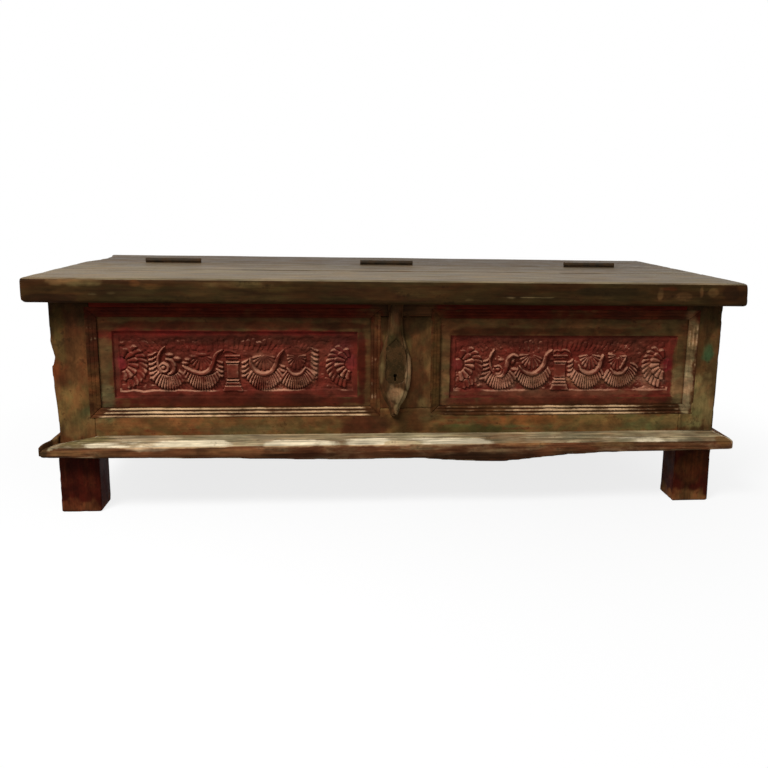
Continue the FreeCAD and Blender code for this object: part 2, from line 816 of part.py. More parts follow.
def hinge(x_middle):
    """Two leaves let into the board edges, with knuckles that alternate on one pin."""
    left = x_middle - hinge_length / 2
    along = Vector(1, 0, 0)
    knuckle_length = hinge_length / knuckle_count
    bore_start = Vector(left, hinge_y, hinge_z)
    bore = rod(bore_start, pin_radius + pin_clearance, along, hinge_length, knuckle_sides)
    pin = Part.makeCylinder(pin_radius, hinge_length, bore_start, along)
    leaves = []
    for side in (1, -1):
        near = hinge_y + side * leaf_play / 2
        far = near + side * leaf_thickness
        plate_top = hinge_z - (knuckle_radius + pin_radius) / 2
        leaf = box_between(
            (left, left + hinge_length),
            (min(near, far), max(near, far)),
            (hinge_z - leaf_height, plate_top))
        for number in range(knuckle_count):
            start = Vector(left + number * knuckle_length, hinge_y, hinge_z)
            own = (number % 2 == 0) == (side == 1)
            if own:
                start.x += knuckle_gap / 2
                length = knuckle_length - knuckle_gap
                leaf = leaf.fuse(rod(start, knuckle_radius, along, length, knuckle_sides))
            else:
                start.x -= knuckle_gap / 2
                length = knuckle_length + knuckle_gap
                radius = knuckle_radius + knuckle_clearance
                leaf = leaf.cut(rod(start, radius, along, length, knuckle_sides))
        leaf = leaf.cut(bore)
        heads = [
            Vector(x_middle + step * hinge_screw_spacing, near, hinge_z - hinge_screw_drop)
            for step in (-1, 0, 1)]
        screws = [screw(Vector(0, side, 0), head, hinge_screw_length) for head in heads]
        recess = box_between(
            (left, left + hinge_length),
            (min(hinge_y, far), max(hinge_y, far)),
            (hinge_z - leaf_height, chest_height + overrun))
        leaves.append((leaf, screws, recess))
    return leaves, pin


def cut_all(shape, cutters):
    """The shape with every cutter near it taken away."""
    for cutter in cutters:
        if shape.BoundBox.intersect(cutter.BoundBox):
            shape = shape.cut(cutter)
    return shape


def carcass():
    """Everything that stands still except the hinges."""
    pieces, openings = front_frame()
    side = right_side()
    back = back_frame()
    for name, shape in side.items():
        pieces["side_right_" + name] = shape
        pieces["side_left_" + name] = mirror_x(shape)
    pieces.update(back)
    posts = corner_posts(openings + list(pieces.values()))
    pieces.update(posts)
    pieces.update(floor_pieces(posts))
    pieces["plinth_front"] = plinth_front()
    pieces["plinth_right"] = plinth_right()
    pieces["plinth_left"] = mirror_x(plinth_right())
    pieces.update(lock_pieces())
    return pieces


def chest():
    """All pieces by name."""
    pieces = carcass()
    pieces.update(top_boards())
    lid_screws = []
    for name, step in (("left", -1), ("middle", 0), ("right", 1)):
        x_middle = step * batten_spacing
        screws = batten_screws(x_middle)
        lid_screws += screws
        pieces["lid_batten_" + name] = cut_all(lid_batten(x_middle), screws)
    lid_hinge_screws = []
    fixed_hinge_screws = []
    for name, step in (("left", -1), ("middle", 0), ("right", 1)):
        leaves, pin = hinge(hinge_shift + step * hinge_spacing)
        (fixed_leaf, fixed_screws, fixed_recess), (lid_leaf, lid_leaf_screws, lid_recess) = leaves
        pieces["rear_top_board"] = cut_all(pieces["rear_top_board"], [fixed_recess] + fixed_screws)
        pieces["lid_rear_plank"] = cut_all(pieces["lid_rear_plank"], [lid_recess] + lid_leaf_screws)
        pieces["hinge_" + name + "_fixed_leaf"] = cut_all(fixed_leaf, fixed_screws)
        pieces["hinge_" + name + "_lid_leaf"] = cut_all(lid_leaf, lid_leaf_screws)
        pieces["hinge_" + name + "_pin"] = pin
        fixed_hinge_screws += fixed_screws
        lid_hinge_screws += lid_leaf_screws
    for name in ("lid_front_plank", "lid_rear_plank"):
        pieces[name] = cut_all(pieces[name], lid_screws)
    pieces["batten_screws"] = Part.makeCompound(lid_screws)
    pieces["lid_hinge_screws"] = Part.makeCompound(lid_hinge_screws)
    pieces["fixed_hinge_screws"] = Part.makeCompound(fixed_hinge_screws)
    return pieces


os.makedirs("parts", exist_ok=True)
for node, solid in chest().items():
    solid.exportStep("parts/" + node + ".step")
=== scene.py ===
"""An old painted storage chest with carved panels, dressed over its CAD frame. Metres; z is up."""

import itertools
import json
import math

import bmesh
import bpy
import numpy as np
from mathutils import Matrix, Vector

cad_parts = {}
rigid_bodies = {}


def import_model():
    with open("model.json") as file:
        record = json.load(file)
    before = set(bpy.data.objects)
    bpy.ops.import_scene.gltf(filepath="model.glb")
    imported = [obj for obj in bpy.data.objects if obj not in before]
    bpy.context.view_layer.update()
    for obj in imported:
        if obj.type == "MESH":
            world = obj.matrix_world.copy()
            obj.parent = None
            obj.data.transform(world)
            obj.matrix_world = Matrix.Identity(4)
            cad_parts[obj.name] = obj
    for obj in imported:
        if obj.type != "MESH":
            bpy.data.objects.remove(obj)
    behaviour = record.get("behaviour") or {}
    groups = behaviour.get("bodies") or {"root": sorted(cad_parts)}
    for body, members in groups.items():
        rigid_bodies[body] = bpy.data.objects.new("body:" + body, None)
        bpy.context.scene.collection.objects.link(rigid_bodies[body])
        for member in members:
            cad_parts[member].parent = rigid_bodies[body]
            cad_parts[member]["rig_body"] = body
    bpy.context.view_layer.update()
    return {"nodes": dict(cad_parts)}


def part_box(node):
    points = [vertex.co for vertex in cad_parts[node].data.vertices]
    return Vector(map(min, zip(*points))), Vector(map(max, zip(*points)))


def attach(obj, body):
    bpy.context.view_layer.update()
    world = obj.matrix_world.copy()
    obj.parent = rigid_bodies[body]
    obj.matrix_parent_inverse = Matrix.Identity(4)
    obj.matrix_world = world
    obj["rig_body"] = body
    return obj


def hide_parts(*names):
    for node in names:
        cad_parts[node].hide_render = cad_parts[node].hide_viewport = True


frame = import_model()

MM = 0.001
CELL_SCALE = 1.0


def new_object(name, data):
    thing = bpy.data.objects.new(name, data)
    bpy.context.scene.collection.objects.link(thing)
    return thing


# Random fields

PLACE_PRIMES = [np.uint64(prime) for prime in (374761393, 668265263, 2147483647)]
SEED_PRIME = 974711
MIXING_PRIME = np.uint64(1274126177)
LOW_BITS = 0xFFFFFF


def smooth(low, high, value):
    share = np.clip((value - low) / (high - low), 0, 1)
    return share * share * (3 - 2 * share)


def lattice(points, seed):
    """A smooth random value from 0 to 1 for each point."""
    cell = np.floor(points).astype(np.int64)
    part = points - cell
    part = part * part * (3 - 2 * part)
    total = np.zeros(len(points))
    for corner in itertools.product((0, 1), repeat=3):
        place = (cell + np.array(corner) + 100000).astype(np.uint64)
        mixed = place[:, 0] * PLACE_PRIMES[0] + place[:, 1] * PLACE_PRIMES[1]
        mixed += place[:, 2] * PLACE_PRIMES[2] + np.uint64(seed * SEED_PRIME + 17)
        mixed ^= mixed >> np.uint64(13)
        mixed *= MIXING_PRIME
        mixed ^= mixed >> np.uint64(16)
        value = (mixed & np.uint64(LOW_BITS)).astype(float) / LOW_BITS
        total += value * np.prod(np.where(corner, part, 1 - part), axis=1)
    return total


def clouds(points, per_metre, seed, layers):
    """Random clouds from 0 to 1, with finer layers over coarse ones."""
    points = points * np.array(per_metre, float)
    total = np.zeros(len(points))
    reach = 0.0
    for layer in range(layers):
        share = 0.5 ** layer
        total += share * lattice(points * 2 ** layer, seed * 31 + layer)
        reach += share
    return total / reach


# Materials


def colour(code):
    """A screen colour of six hexadecimal digits, as the linear one that a shader takes."""
    parts = [int(code[k:k + 2], 16) / 255 for k in (0, 2, 4)]
    return (*[p / 12.92 if p <= 0.04045 else ((p + 0.055) / 1.055) ** 2.4 for p in parts], 1.0)


def add_node(tree, kind, inputs=None, **settings):
    """A shader node, with each input linked or set."""
    node = tree.nodes.new("ShaderNode" + kind)
    for key, value in settings.items():
        setattr(node, key, value)
    for key, value in (inputs or {}).items():
        if isinstance(value, bpy.types.NodeSocket):
            tree.links.new(value, node.inputs[key])
        else:
            node.inputs[key].default_value = value
    return node


def clear_tree(thing):
    thing.use_nodes = True
    thing.node_tree.nodes.clear()
    return thing.node_tree


class Surface:
    """A node-based material that is put together call by call."""

    def __init__(self, name, axis="x"):
        self.axis = axis
        self.material = bpy.data.materials.new(name)
        self.tree = clear_tree(self.material)
        self.place = self.add("TexCoord").outputs["Object"]

    def add(self, kind, inputs=None, **settings):
        return add_node(self.tree, kind, inputs, **settings)

    def noise(self, along, across, detail, roughness, shift, distortion=0.0):
        """Noise with its own scales along and across the grain."""
        spread = [along if letter == self.axis else across for letter in "xyz"]
        mapped = self.add("Mapping", {
            "Vector": self.place, "Scale": spread, "Location": (shift, shift * 0.7, shift * 1.3)})
        return self.add("TexNoise", {
            "Vector": mapped.outputs[0], "Scale": 1.0, "Detail": detail,
            "Roughness": roughness, "Distortion": distortion}).outputs["Fac"]

    def attribute(self, name):
        return self.add("Attribute", attribute_name=name).outputs["Fac"]

    def fade(self, value, low, high, start=0.0, end=1.0):
        return self.add("MapRange", {
            "Value": value, "From Min": low, "From Max": high, "To Min": start, "To Max": end},
            interpolation_type="SMOOTHSTEP").outputs[0]

    def sum(self, first, second, share=1.0):
        return self.add("Math", {0: second, 1: share, 2: first}, operation="MULTIPLY_ADD").outputs[0]

    def times(self, first, second):
        return self.add("Math", {0: first, 1: second}, operation="MULTIPLY").outputs[0]

    def mix(self, share, first, second, mode="MIX"):
        return self.add("Mix", {0: share, 6: first, 7: second}, data_type="RGBA", blend_type=mode).outputs[2]

    def shaded(self, base, tone):
        return self.mix(1.0, base, self.add("CombineColor", {0: tone, 1: tone, 2: tone}).outputs[0], "MULTIPLY")

    def finish(self, base, rough, bumps, specular):
        """The shader, over bumps that are each (height, strength, distance)."""
        inputs = {}
        for height, strength, distance in bumps:
            inputs.update(Height=height, Strength=strength, Distance=distance)
            inputs["Normal"] = self.add("Bump", inputs).outputs[0]
        shader = self.add("BsdfPrincipled", {
            "Base Color": base, "Roughness": rough, "Specular IOR Level": specular, "Normal": inputs["Normal"]})
        self.add("OutputMaterial", {"Surface": shader.outputs[0]})
        return self.material


def old_wood(name, axis, colours, rough=(0.55, 0.8), loss=0.0, tinted=True, specular=0.03, lines=0.12, hold=0.85,
             dapple=0.5, stretch=1.6):
    """Old painted or waxed wood: mottled paint, worn through to bare wood, with grime, painted light and shade, and
    open grain.

    The colours are three paints, bare wood, and grime, which also gives painted shade. More loss bares more wood,
    hold is how fully it shows, lines the depth of the grain, dapple the change of hue, and stretch how much longer
    its spots are along the grain.
    """
    s = Surface(name, axis)
    paint, other_paint, dark_paint, bare, grime_and_shade = (colour(code) for code in colours.split())
    cloud = s.noise(8.0, 8.0, 3.0, 0.55, 1.7)
    patch = s.noise(14.0, 30.0, 4.0, 0.6, 4.1)
    mottle = s.noise(55.0 / stretch, 55.0, 4.0, 0.62, 7.7, 0.3)
    fine = s.noise(190.0, 190.0, 3.0, 0.6, 8.3)
    streak = s.noise(4.0, 60.0, 4.0, 0.6, 2.9, 0.4)
    grain = s.noise(9.0, 260.0, 3.0, 0.6, 6.1)
    first = s.fade(s.sum(cloud, patch, 0.7), 0.66, 1.04)
    base = s.mix(first, paint, other_paint)
    second = s.fade(s.sum(s.sum(s.times(streak, 0.6), mottle, 0.6), cloud, 0.4), 0.78, 1.0)
    base = s.mix(s.times(second, 0.8), base, dark_paint)
    if tinted:
        tint = s.add("Attribute", attribute_name="tint")
        held = s.fade(s.sum(tint.outputs["Alpha"], s.sum(patch, mottle, 1.2), 0.5), 0.42, 1.45)
        held = s.times(held, s.fade(tint.outputs["Alpha"], 0.0, 0.5))
        base = s.mix(held, base, tint.outputs["Color"])
        hue = s.noise(34.0 / stretch, 34.0, 3.0, 0.6, 11.3, 0.5)
        hues = s.mix(s.fade(hue, 0.38, 0.62), (1.22, 0.93, 0.84, 1), (0.8, 1.04, 0.92, 1))
        base = s.mix(dapple, base, hues, "MULTIPLY")
        tone = s.noise(48.0 / stretch, 48.0, 4.0, 0.65, 13.9, 0.4)
        base = s.shaded(base, s.fade(tone, 0.32, 0.68, 0.76, 1.26))
    worn_and_lit = s.sum(s.sum(s.times(patch, 0.6), mottle, 0.45), s.sum(s.times(fine, 0.25), streak, 0.25), 1.0)
    # The wear layer bares wood where it is worn, and on the carving, reeds and plinth nose it is also a painted
    # highlight.
    if tinted:
        worn_and_lit = s.sum(worn_and_lit, s.attribute("wear_and_light"), 0.7)
    worn_and_lit = s.fade(worn_and_lit, 1.02 - loss, 1.38 - loss)
    base = s.mix(s.times(worn_and_lit, hold), base, bare)
    shade = s.fade(grain, 0.3, 0.7, 1.0 - 2 * lines, 1.0 + 0.5 * lines)
    base = s.shaded(base, s.times(shade, s.fade(s.sum(mottle, patch, 0.8), 0.62, 1.15, 0.66, 1.22)))
    spots = s.fade(s.sum(mottle, fine, 0.4), 0.80, 0.93)
    base = s.mix(s.times(spots, 0.5), base, grime_and_shade)
    # The grime layer darkens the paint: grime, darker hollows and grooves, and painted shade under the carving's
    # forms.
    if tinted:
        dirt_and_shade = s.fade(s.sum(s.attribute("grime_and_shade"), mottle, 0.4), 0.35, 1.0)
        base = s.mix(s.times(dirt_and_shade, 0.9), base, grime_and_shade)
    gloss = s.fade(s.sum(patch, fine, 0.5), 0.5, 1.0, rough[0], rough[1])
    bumps = [(grain, 0.25, 0.0005), (streak, 0.25, 0.0012), (mottle, 0.3, 0.0012), (worn_and_lit, 0.2, 0.0004),
             (fine, 0.2, 0.0005)]
    return s.finish(base, gloss, bumps, specular)


def old_iron(name, colours, specular=0.08):
    """Pitted iron, dark with rust."""
    dark, rust = (colour(code) for code in colours.split())
    s = Surface(name)
    cloud = s.noise(45.0, 45.0, 4.0, 0.65, 3.0)
    fine = s.noise(420.0, 420.0, 3.0, 0.6, 5.0)
    rusty = s.fade(s.sum(cloud, fine, 0.4), 0.58, 0.84)
    base = s.mix(rusty, dark, rust)
    base = s.mix(s.times(s.fade(fine, 0.6, 0.75), 0.3), base, colour("766248"))
    return s.finish(base, s.fade(rusty, 0.0, 1.0, 0.5, 0.8), [(cloud, 0.4, 0.0012), (fine, 0.45, 0.0005)], specular)


MATERIALS = {
    "rail_top": old_wood("top_rail_paint", "x", "52150b 4c150b 441a0d 5c3c22 120703", loss=-0.2, dapple=0.15,
                         stretch=3.0),
    "frame_x": old_wood("frame_paint_along", "x", "6a4425 584a2a 562a16 8e6c46 1c1007", lines=0.05),
    "frame_z": old_wood("frame_paint_upright", "z", "56341c 503a20 3a2011 8e6c46 1a0f07", lines=0.06),
    "field": old_wood("red_field_paint", "x", "5a2219 502318 622c21 9e6e56 220b07", lines=0.04, hold=0.8, dapple=0.4),
    "border": old_wood("border_paint", "x", "4e301b 4c3820 422012 866240 1c0f07", lines=0.05),
    "reed": old_wood("reed_paint", "x", "422412 4e321b 34180c c4a078 180c05", hold=0.95),
    "plinth_top": old_wood("plinth_top_wood", "x", "a08e70 88785a 6c5036 dcccac 2c1a0d", lines=0.3, dapple=0.2,
                           stretch=3.0),
    "plinth": old_wood("plinth_wood", "x", "654027 57321e 7f6447 ba9870 201108", loss=0.02, lines=0.25, dapple=0.3,
                       stretch=2.5),
    "plinth_side": old_wood("plinth_side_wood", "y", "684a2c 5c361c 705232 b28a60 201108"),
    "boss": old_wood("boss_wood", "z", "462e1a 3c2b18 543c26 846846 140d07", loss=-0.15),
    "top": old_wood("top_wood", "x", "6c5c44 74654e 5b4b36 86755b 2a1f14", rough=(0.4, 0.6), loss=-0.05,
                    specular=0.045, lines=0.08, dapple=0.15, stretch=7.0),
    "lid_edge": old_wood("lid_edge_wood", "x", "382310 312311 28160a 5e3a1e 120a05", loss=-0.2, stretch=4.0),
    "leg": old_wood("post_paint", "z", "3a1008 300f07 421c0e 683c20 120603", loss=-0.12),
    "side_x": old_wood("side_paint_along", "y", "5c3a20 544428 462012 8c6a46 1c0f07"),
    "bare_x": old_wood("bare_wood_along", "x", "70563a 624a30 543c26 8c704e 342618", tinted=False),
    "bare_y": old_wood("bare_wood_across", "y", "604930 564029 4a3522 8c704e 342618", tinted=False),
    "iron": old_iron("hinge_iron", "282016 3a2a1a"),
    "lock_iron": old_iron("lock_iron", "2c2112 402c19", 0.0),
}

# Local paint, some of it painted shade or light: patches of (x, y, z, reach in x, y and z, screen colour, strength),
# in millimetres

FRONT_Y = -266


def at_depth(patches, y=FRONT_Y, reach=60):
    """Patches given without y, put at one depth."""
    return [(x, y, z, reach_x, reach, reach_z, *paint) for x, z, reach_x, reach_z, *paint in patches]


# The dark patches at the tops of the posts and the muntin, near z 372 to 385, are a painted shadow under the lid's
# overhang, and the narrow dark strip at x -34 a painted shadow beside the boss; the rest are paint and stains.
FRONT = at_depth([
    (-606, 385, 60, 50, "301d0e", 1.0), (-628, 372, 14, 36, "362a11", 0.7), (-606, 300, 44, 60, "482915", 0.9),
    (-628, 320, 12, 46, "4e3a1e", 0.6), (-590, 262, 26, 50, "603a20", 0.6), (-606, 205, 50, 42, "624626", 0.8),
    (-560, 196, 40, 22, "544c2e", 0.7), (-612, 168, 40, 24, "5c4628", 0.7), (-640, 282, 12, 24, "603218", 0.7),
    (-440, 182, 120, 20, "664224", 0.6), (-300, 160, 90, 12, "58462a", 0.6), (-180, 180, 90, 18, "644426", 0.6),
    (-60, 170, 60, 26, "422414", 0.8), (30, 180, 50, 34, "3e2814", 0.8), (150, 158, 70, 11, "423a1e", 0.8),
    (265, 176, 100, 13, "704624", 0.7), (400, 168, 90, 18, "5c4426", 0.6), (520, 166, 60, 18, "544c2c", 0.7),
    (56, 310, 12, 26, "5c3a20", 0.5), (62, 275, 10, 24, "644428", 0.45), (10, 385, 70, 46, "322110", 0.95),
    (34, 250, 24, 60, "422614", 0.6), (-34, 285, 7, 70, "3e1c0f", 0.7), (60, 200, 22, 30, "543e24", 0.6),
    (622, 309, 12, 19, "34442a", 0.6), (585, 190, 12, 16, "383e22", 0.8), (612, 385, 40, 44, "342412", 0.9),
    (596, 330, 16, 60, "422e18", 0.7), (626, 250, 14, 44, "48301a", 0.6), (604, 232, 26, 40, "765e3a", 0.9),
    (590, 174, 36, 22, "6a5a36", 0.8), (632, 190, 12, 40, "6a5232", 0.8), (400, 176, 90, 12, "70542e", 0.6),
    (560, 176, 50, 12, "6c5832", 0.6)])
# Dark strips along the top of each panel's border, near z 352 to 362, are a painted shadow under the lid's overhang,
# and the dark bands near z 331 to 334 a painted shadow at the top of the sunk field; the rest are paint and stains.
PANEL_SPOTS = at_depth([
    (-552, 300, 14, 60, "49351f", 0.85), (-550, 225, 14, 34, "5c4d32", 0.85), (-420, 362, 150, 8, "3c1c0f", 0.9),
    (-250, 362, 150, 8, "422414", 0.9), (-110, 362, 60, 8, "361c0e", 0.9), (-300, 214, 250, 8, "3f190f", 1.0),
    (-300, 203, 250, 7, "451f0f", 0.95), (-70, 290, 9, 70, "3c160c", 0.9), (92, 320, 10, 44, "543a22", 0.8),
    (94, 250, 10, 50, "62482c", 0.8), (200, 352, 130, 8, "381e0f", 0.9), (380, 352, 130, 8, "3c2412", 0.9),
    (520, 352, 60, 9, "422e19", 0.8), (330, 227, 240, 7, "603424", 0.9), (330, 213, 250, 9, "4d2317", 1.0),
    (330, 205, 250, 7, "442313", 0.95), (566, 300, 10, 50, "4e361e", 0.8), (568, 240, 12, 40, "6c5436", 0.8),
    (-500, 344, 80, 12, "5c1c16", 0.6), (-390, 348, 90, 6, "681e1a", 0.6), (-200, 348, 120, 6, "641c18", 0.6),
    (-526, 288, 12, 18, "6c2222", 0.8), (116, 286, 11, 18, "62221d", 0.8), (545, 286, 11, 18, "641b1c", 0.65),
    (-90, 288, 10, 16, "6a2622", 0.7), (-300, 334, 240, 12, "3e1b12", 0.7), (330, 331, 200, 11, "462016", 0.5),
    (195, 253, 42, 20, "805440", 0.5), (270, 253, 40, 20, "70503a", 0.5), (378, 253, 40, 20, "7c563c", 0.5),
    (444, 253, 40, 20, "724e36", 0.5), (514, 262, 24, 34, "845640", 0.5), (-435, 250, 36, 14, "6a4230", 0.3),
    (-372, 250, 36, 12, "684430", 0.3), (-196, 252, 36, 14, "6c4832", 0.4), (-160, 280, 10, 36, "785440", 0.5),
    (-300, 219, 250, 10, "3f190f", 1.0), (-531, 270, 6, 60, "52261b", 0.8), (-425, 292, 62, 34, "4e1f15", 0.45),
    (-262, 282, 60, 34, "6c3e2e", 0.4), (-110, 310, 26, 30, "4c1e1a", 0.6)])
RAIL_SPOTS = at_depth([
    (14, 400, 74, 26, "3a2413", 1.0), (-44, 384, 14, 20, "42180d", 0.8),
    (50, 392, 20, 20, "4a2c18", 0.7)])
FEET = [(x, y, 4, 60, 60, 24, paint, 0.75)
        for x, paint in ((-606, "522c18"), (606, "6c4628")) for y in (-240, 264)] + [
    (606, -240, 80, 60, 60, 50, "3f200e", 0.7), (-570, -236, 66, 11, 44, 60, "320b04", 0.9)]
PLINTH_SPOTS = [
    (-606, -286, 147, 62, 24, 12, "6a5a3a", 0.95), (-540, -296, 142, 60, 14, 8, "968260", 0.5),
    (-470, -300, 134, 50, 12, 6, "aa9272", 0.5), (-668, -290, 138, 22, 70, 26, "3e2a18", 1.0),
    (-612, -304, 128, 40, 10, 6, "745030", 0.7), (-20, -296, 138, 60, 12, 6, "baa480", 0.4),
    (90, -296, 136, 70, 12, 6, "b29a76", 0.4), (250, -302, 136, 70, 14, 6, "7e5a36", 0.4),
    (-320, -302, 128, 60, 14, 6, "785434", 0.4), (430, -302, 132, 60, 14, 7, "725432", 0.4),
    (560, -290, 146, 60, 14, 8, "968262", 0.5), (655, -300, 136, 18, 14, 12, "704e2c", 0.7),
    (160, -302, 112, 120, 14, 9, "2c190c", 0.7), (-180, -302, 120, 90, 14, 5, "301a0d", 0.6)]
EDGE_SPOTS = at_depth([
    (-478, 445, 12, 7, "5c381c", 0.4), (-443, 440, 26, 7, "503218", 0.4), (-553, 425, 12, 3, "54422a", 0.4),
    (-520, 427, 8, 3, "54422a", 0.4), (-580, 446, 50, 8, "5c462a", 0.7), (-300, 444, 60, 7, "4c3c22", 0.5),
    (-620, 418, 60, 9, "2b190c", 0.7), (-390, 416, 90, 8, "2a1e0d", 0.6), (206, 423, 16, 2, "786042", 0.6),
    (240, 424, 16, 2, "6e563a", 0.6), (274, 424, 20, 2, "685236", 0.6), (130, 419, 10, 3, "503a22", 0.5),
    (516, 443, 20, 5, "4a2412", 0.6), (582, 436, 4, 14, "543820", 0.6), (500, 432, 6, 16, "583e24", 0.6),
    (548, 428, 18, 10, "4a321c", 0.6), (606, 436, 12, 10, "4e361e", 0.6), (646, 432, 22, 16, "24160a", 0.8),
    (-200, 436, 90, 9, "322410", 0.5), (40, 434, 90, 8, "382814", 0.5), (400, 436, 90, 9, "24180b", 0.6)], -306, 12)
# The dark patch at the boss's top, at z 392, is a painted shadow under the lid; the rest are paint.
BOSS_SPOTS = [
    (-6, -296, 392, 18, 30, 28, "3e2615", 0.7), (-10, -296, 330, 14, 30, 30, "2c2412", 0.85),
    (-10, -296, 280, 16, 30, 30, "282213", 0.85), (-32, -296, 270, 7, 30, 30, "5c4a2e", 0.8),
    (20, -292, 278, 7, 30, 44, "937856", 1.0), (-2, -296, 234, 20, 30, 18, "866244", 0.9),
    (12, -296, 222, 10, 30, 18, "947654", 0.8), (2, -296, 204, 12, 30, 18, "745c3e", 0.9),
    (-16, -296, 218, 7, 30, 14, "583a26", 0.7), (14, -296, 330, 8, 30, 16, "604a30", 0.8)]
# Darker patches on the left-hand lengths are painted shade, and pale ones on the right panel's right-hand length a
# painted highlight; the others are paint.
REED_SPOTS = at_depth([
    (-440, 388, 200, 28, "43150a", 1.0), (-160, 388, 130, 28, "43150a", 1.0), (200, 384, 140, 28, "42150a", 0.95),
    (480, 384, 140, 28, "441c0e", 0.9), (-568, 330, 14, 60, "361a0d", 0.8), (-568, 240, 14, 40, "5a361c", 0.7),
    (-52, 300, 14, 90, "3a1e0f", 0.7), (84, 300, 14, 90, "322010", 0.7), (582, 250, 14, 70, "846c4e", 1.0),
    (582, 340, 14, 60, "6e5438", 0.9), (74, 280, 12, 110, "483018", 0.9)], reach=30)

# Worn copies of the wooden pieces


def flat_array(collection, name, width):
    values = np.zeros(len(collection) * width)
    collection.foreach_get(name, values)
    return values.reshape(-1, width)


class Shape:
    """A dense mesh as arrays: points, normals, and how convex or hollow each point is."""

    def __init__(self, mesh, cell):
        self.points = flat_array(mesh.vertices, "co", 3)
        self.normals = flat_array(mesh.vertex_normals, "vector", 3)
        ends = np.zeros(len(mesh.edges) * 2, np.int32)
        mesh.edges.foreach_get("vertices", ends)
        self.ends = ends.reshape(-1, 2)
        around = np.stack([self.spread(self.points[:, k]) for k in range(3)], axis=1)
        bulge = ((self.points - around) * self.normals).sum(axis=1) / cell
        self.edge = self.spread(self.spread(smooth(0.03, 0.16, bulge)))
        self.hollow = self.spread(self.spread(smooth(0.03, 0.16, -bulge)))

    def spread(self, values):
        """The average over each point's neighbours."""
        count = len(self.points)
        one, two = self.ends[:, 0], self.ends[:, 1]
        total = np.bincount(one, values[two], count) + np.bincount(two, values[one], count)
        near = np.bincount(one, minlength=count) + np.bincount(two, minlength=count)
        return total / np.maximum(near, 1)


def colour_layer(points, patches, seed):
    """The paint of the patches at each point, and how far it covers; a later patch lies over an earlier one."""
    layer = np.zeros((len(points), 4))
    mm = points / MM
    for number, (x, y, z, rx, ry, rz, paint, strength) in enumerate(patches):
        away = np.sqrt(((mm[:, 0] - x) / rx) ** 2 + ((mm[:, 1] - y) / ry) ** 2 + ((mm[:, 2] - z) / rz) ** 2)
        near = np.where(away < 1.8)[0]
        if not len(near):
            continue
        rough = clouds(points[near], (70, 70, 70), seed + number, 3)
        share = strength * smooth(1.3, 0.5, away[near] + (rough - 0.5) * 0.9)
        target = np.array(colour(paint)[:3])
        held = layer[near, 3]
        total = share + held * (1 - share)
        mixed = (target * share[:, None] + layer[near, :3] * (held * (1 - share))[:, None])
        layer[near, :3] = mixed / np.maximum(total, 1e-6)[:, None]
        layer[near, 3] = total
    return layer


def write_layers(mesh, wear_and_light, grime_and_shade, tint):
    for name, values in (("wear_and_light", wear_and_light), ("grime_and_shade", grime_and_shade)):
        mesh.attributes.new(name, "FLOAT", "POINT").data.foreach_set("value", values.astype(np.float32))
    mesh.attributes.new("tint", "FLOAT_COLOR", "POINT").data.foreach_set("color", tint.astype(np.float32).ravel())


def dense_mesh(node, cell):
    """The node's shape as even small cells."""
    name = "worn_" + node
    welded = bpy.data.meshes.new(name)
    work = bmesh.new()
    work.from_mesh(frame["nodes"][node].data)
    bmesh.ops.remove_doubles(work, verts=work.verts, dist=1e-6)
    work.to_mesh(welded)
    work.free()
    holder = new_object(name, welded)
    cells = holder.modifiers.new("cells", "REMESH")
    cells.mode = "VOXEL"
    cells.voxel_size = cell
    bpy.context.view_layer.update()
    made = bpy.data.meshes.new_from_object(holder.evaluated_get(bpy.context.evaluated_depsgraph_get()))
    bpy.data.objects.remove(holder)
    made.name = name
    return made


def place_piece(name, mesh, body, materials, nodes):
    piece = new_object(name, mesh)
    mesh.materials.clear()
    for one in materials:
        mesh.materials.append(MATERIALS[one])
    mesh.polygons.foreach_set("use_smooth", [True] * len(mesh.polygons))
    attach(piece, body)
    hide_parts(*nodes)


def worn_piece(node, seed, material, slot, second=None, cell=2.5, stretch=(18, 18, 18), swell=0.8, lump=0.3,
               chip=1.5, rub=0.9, form=None, wear_and_light=None, grime_and_shade=None, spots=()):
    """A worn copy of a CAD node, with uneven faces, rubbed edges and small chips.

    It is swollen a little, as a copy in cells is smaller. cell, swell, lump (how uneven) and chip (how deep) are in
    millimetres, and stretch is per metre. form moves the points in place, two functions add paler wear and darkening
    to those layers, which elsewhere also carry painted light and shade, and second is another material and the test
    for its faces.
    """
    cell = cell * MM * CELL_SCALE
    mesh = dense_mesh(node, cell)
    shape = Shape(mesh, cell)
    points = shape.points
    uneven = clouds(points, stretch, seed, 3) - 0.5
    bites = smooth(0.54, 0.72, clouds(points, [3 * v for v in stretch], seed + 5, 2)) * smooth(0.1, 0.6, shape.edge)
    moved = points + shape.normals * (swell + uneven * 2 * lump - bites * chip)[:, None] * MM
    if form:
        form(moved)
    mesh.vertices.foreach_set("co", moved.ravel())
    mesh.update()
    worn_and_lit = smooth(0.05, 0.7, shape.edge) * rub + bites * 0.4
    if wear_and_light:
        worn_and_lit = worn_and_lit + wear_and_light(points)
    # The hollows are darker.
    dirt_and_shade = shape.hollow * 0.6
    if grime_and_shade:
        dirt_and_shade = dirt_and_shade + grime_and_shade(points)
    write_layers(mesh, np.clip(worn_and_lit, -1, 1.5), np.clip(dirt_and_shade, 0, 1.5), colour_layer(points, spots, seed + 50))
    body = frame["nodes"][node]["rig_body"]
    place_piece("worn_" + node, mesh, body, [material] + ([second[0]] if second else []), [node])
    if second:
        centres = flat_array(mesh.polygons, "center", 3)
        facing = flat_array(mesh.polygons, "normal", 3)
        mesh.polygons.foreach_set("material_index", second[1](centres, facing).astype(np.int32))


# Carving


def ridge(away, half, height):
    return height * np.sqrt(np.clip(1 - np.abs(away / half) ** 2.8, 0, 1))


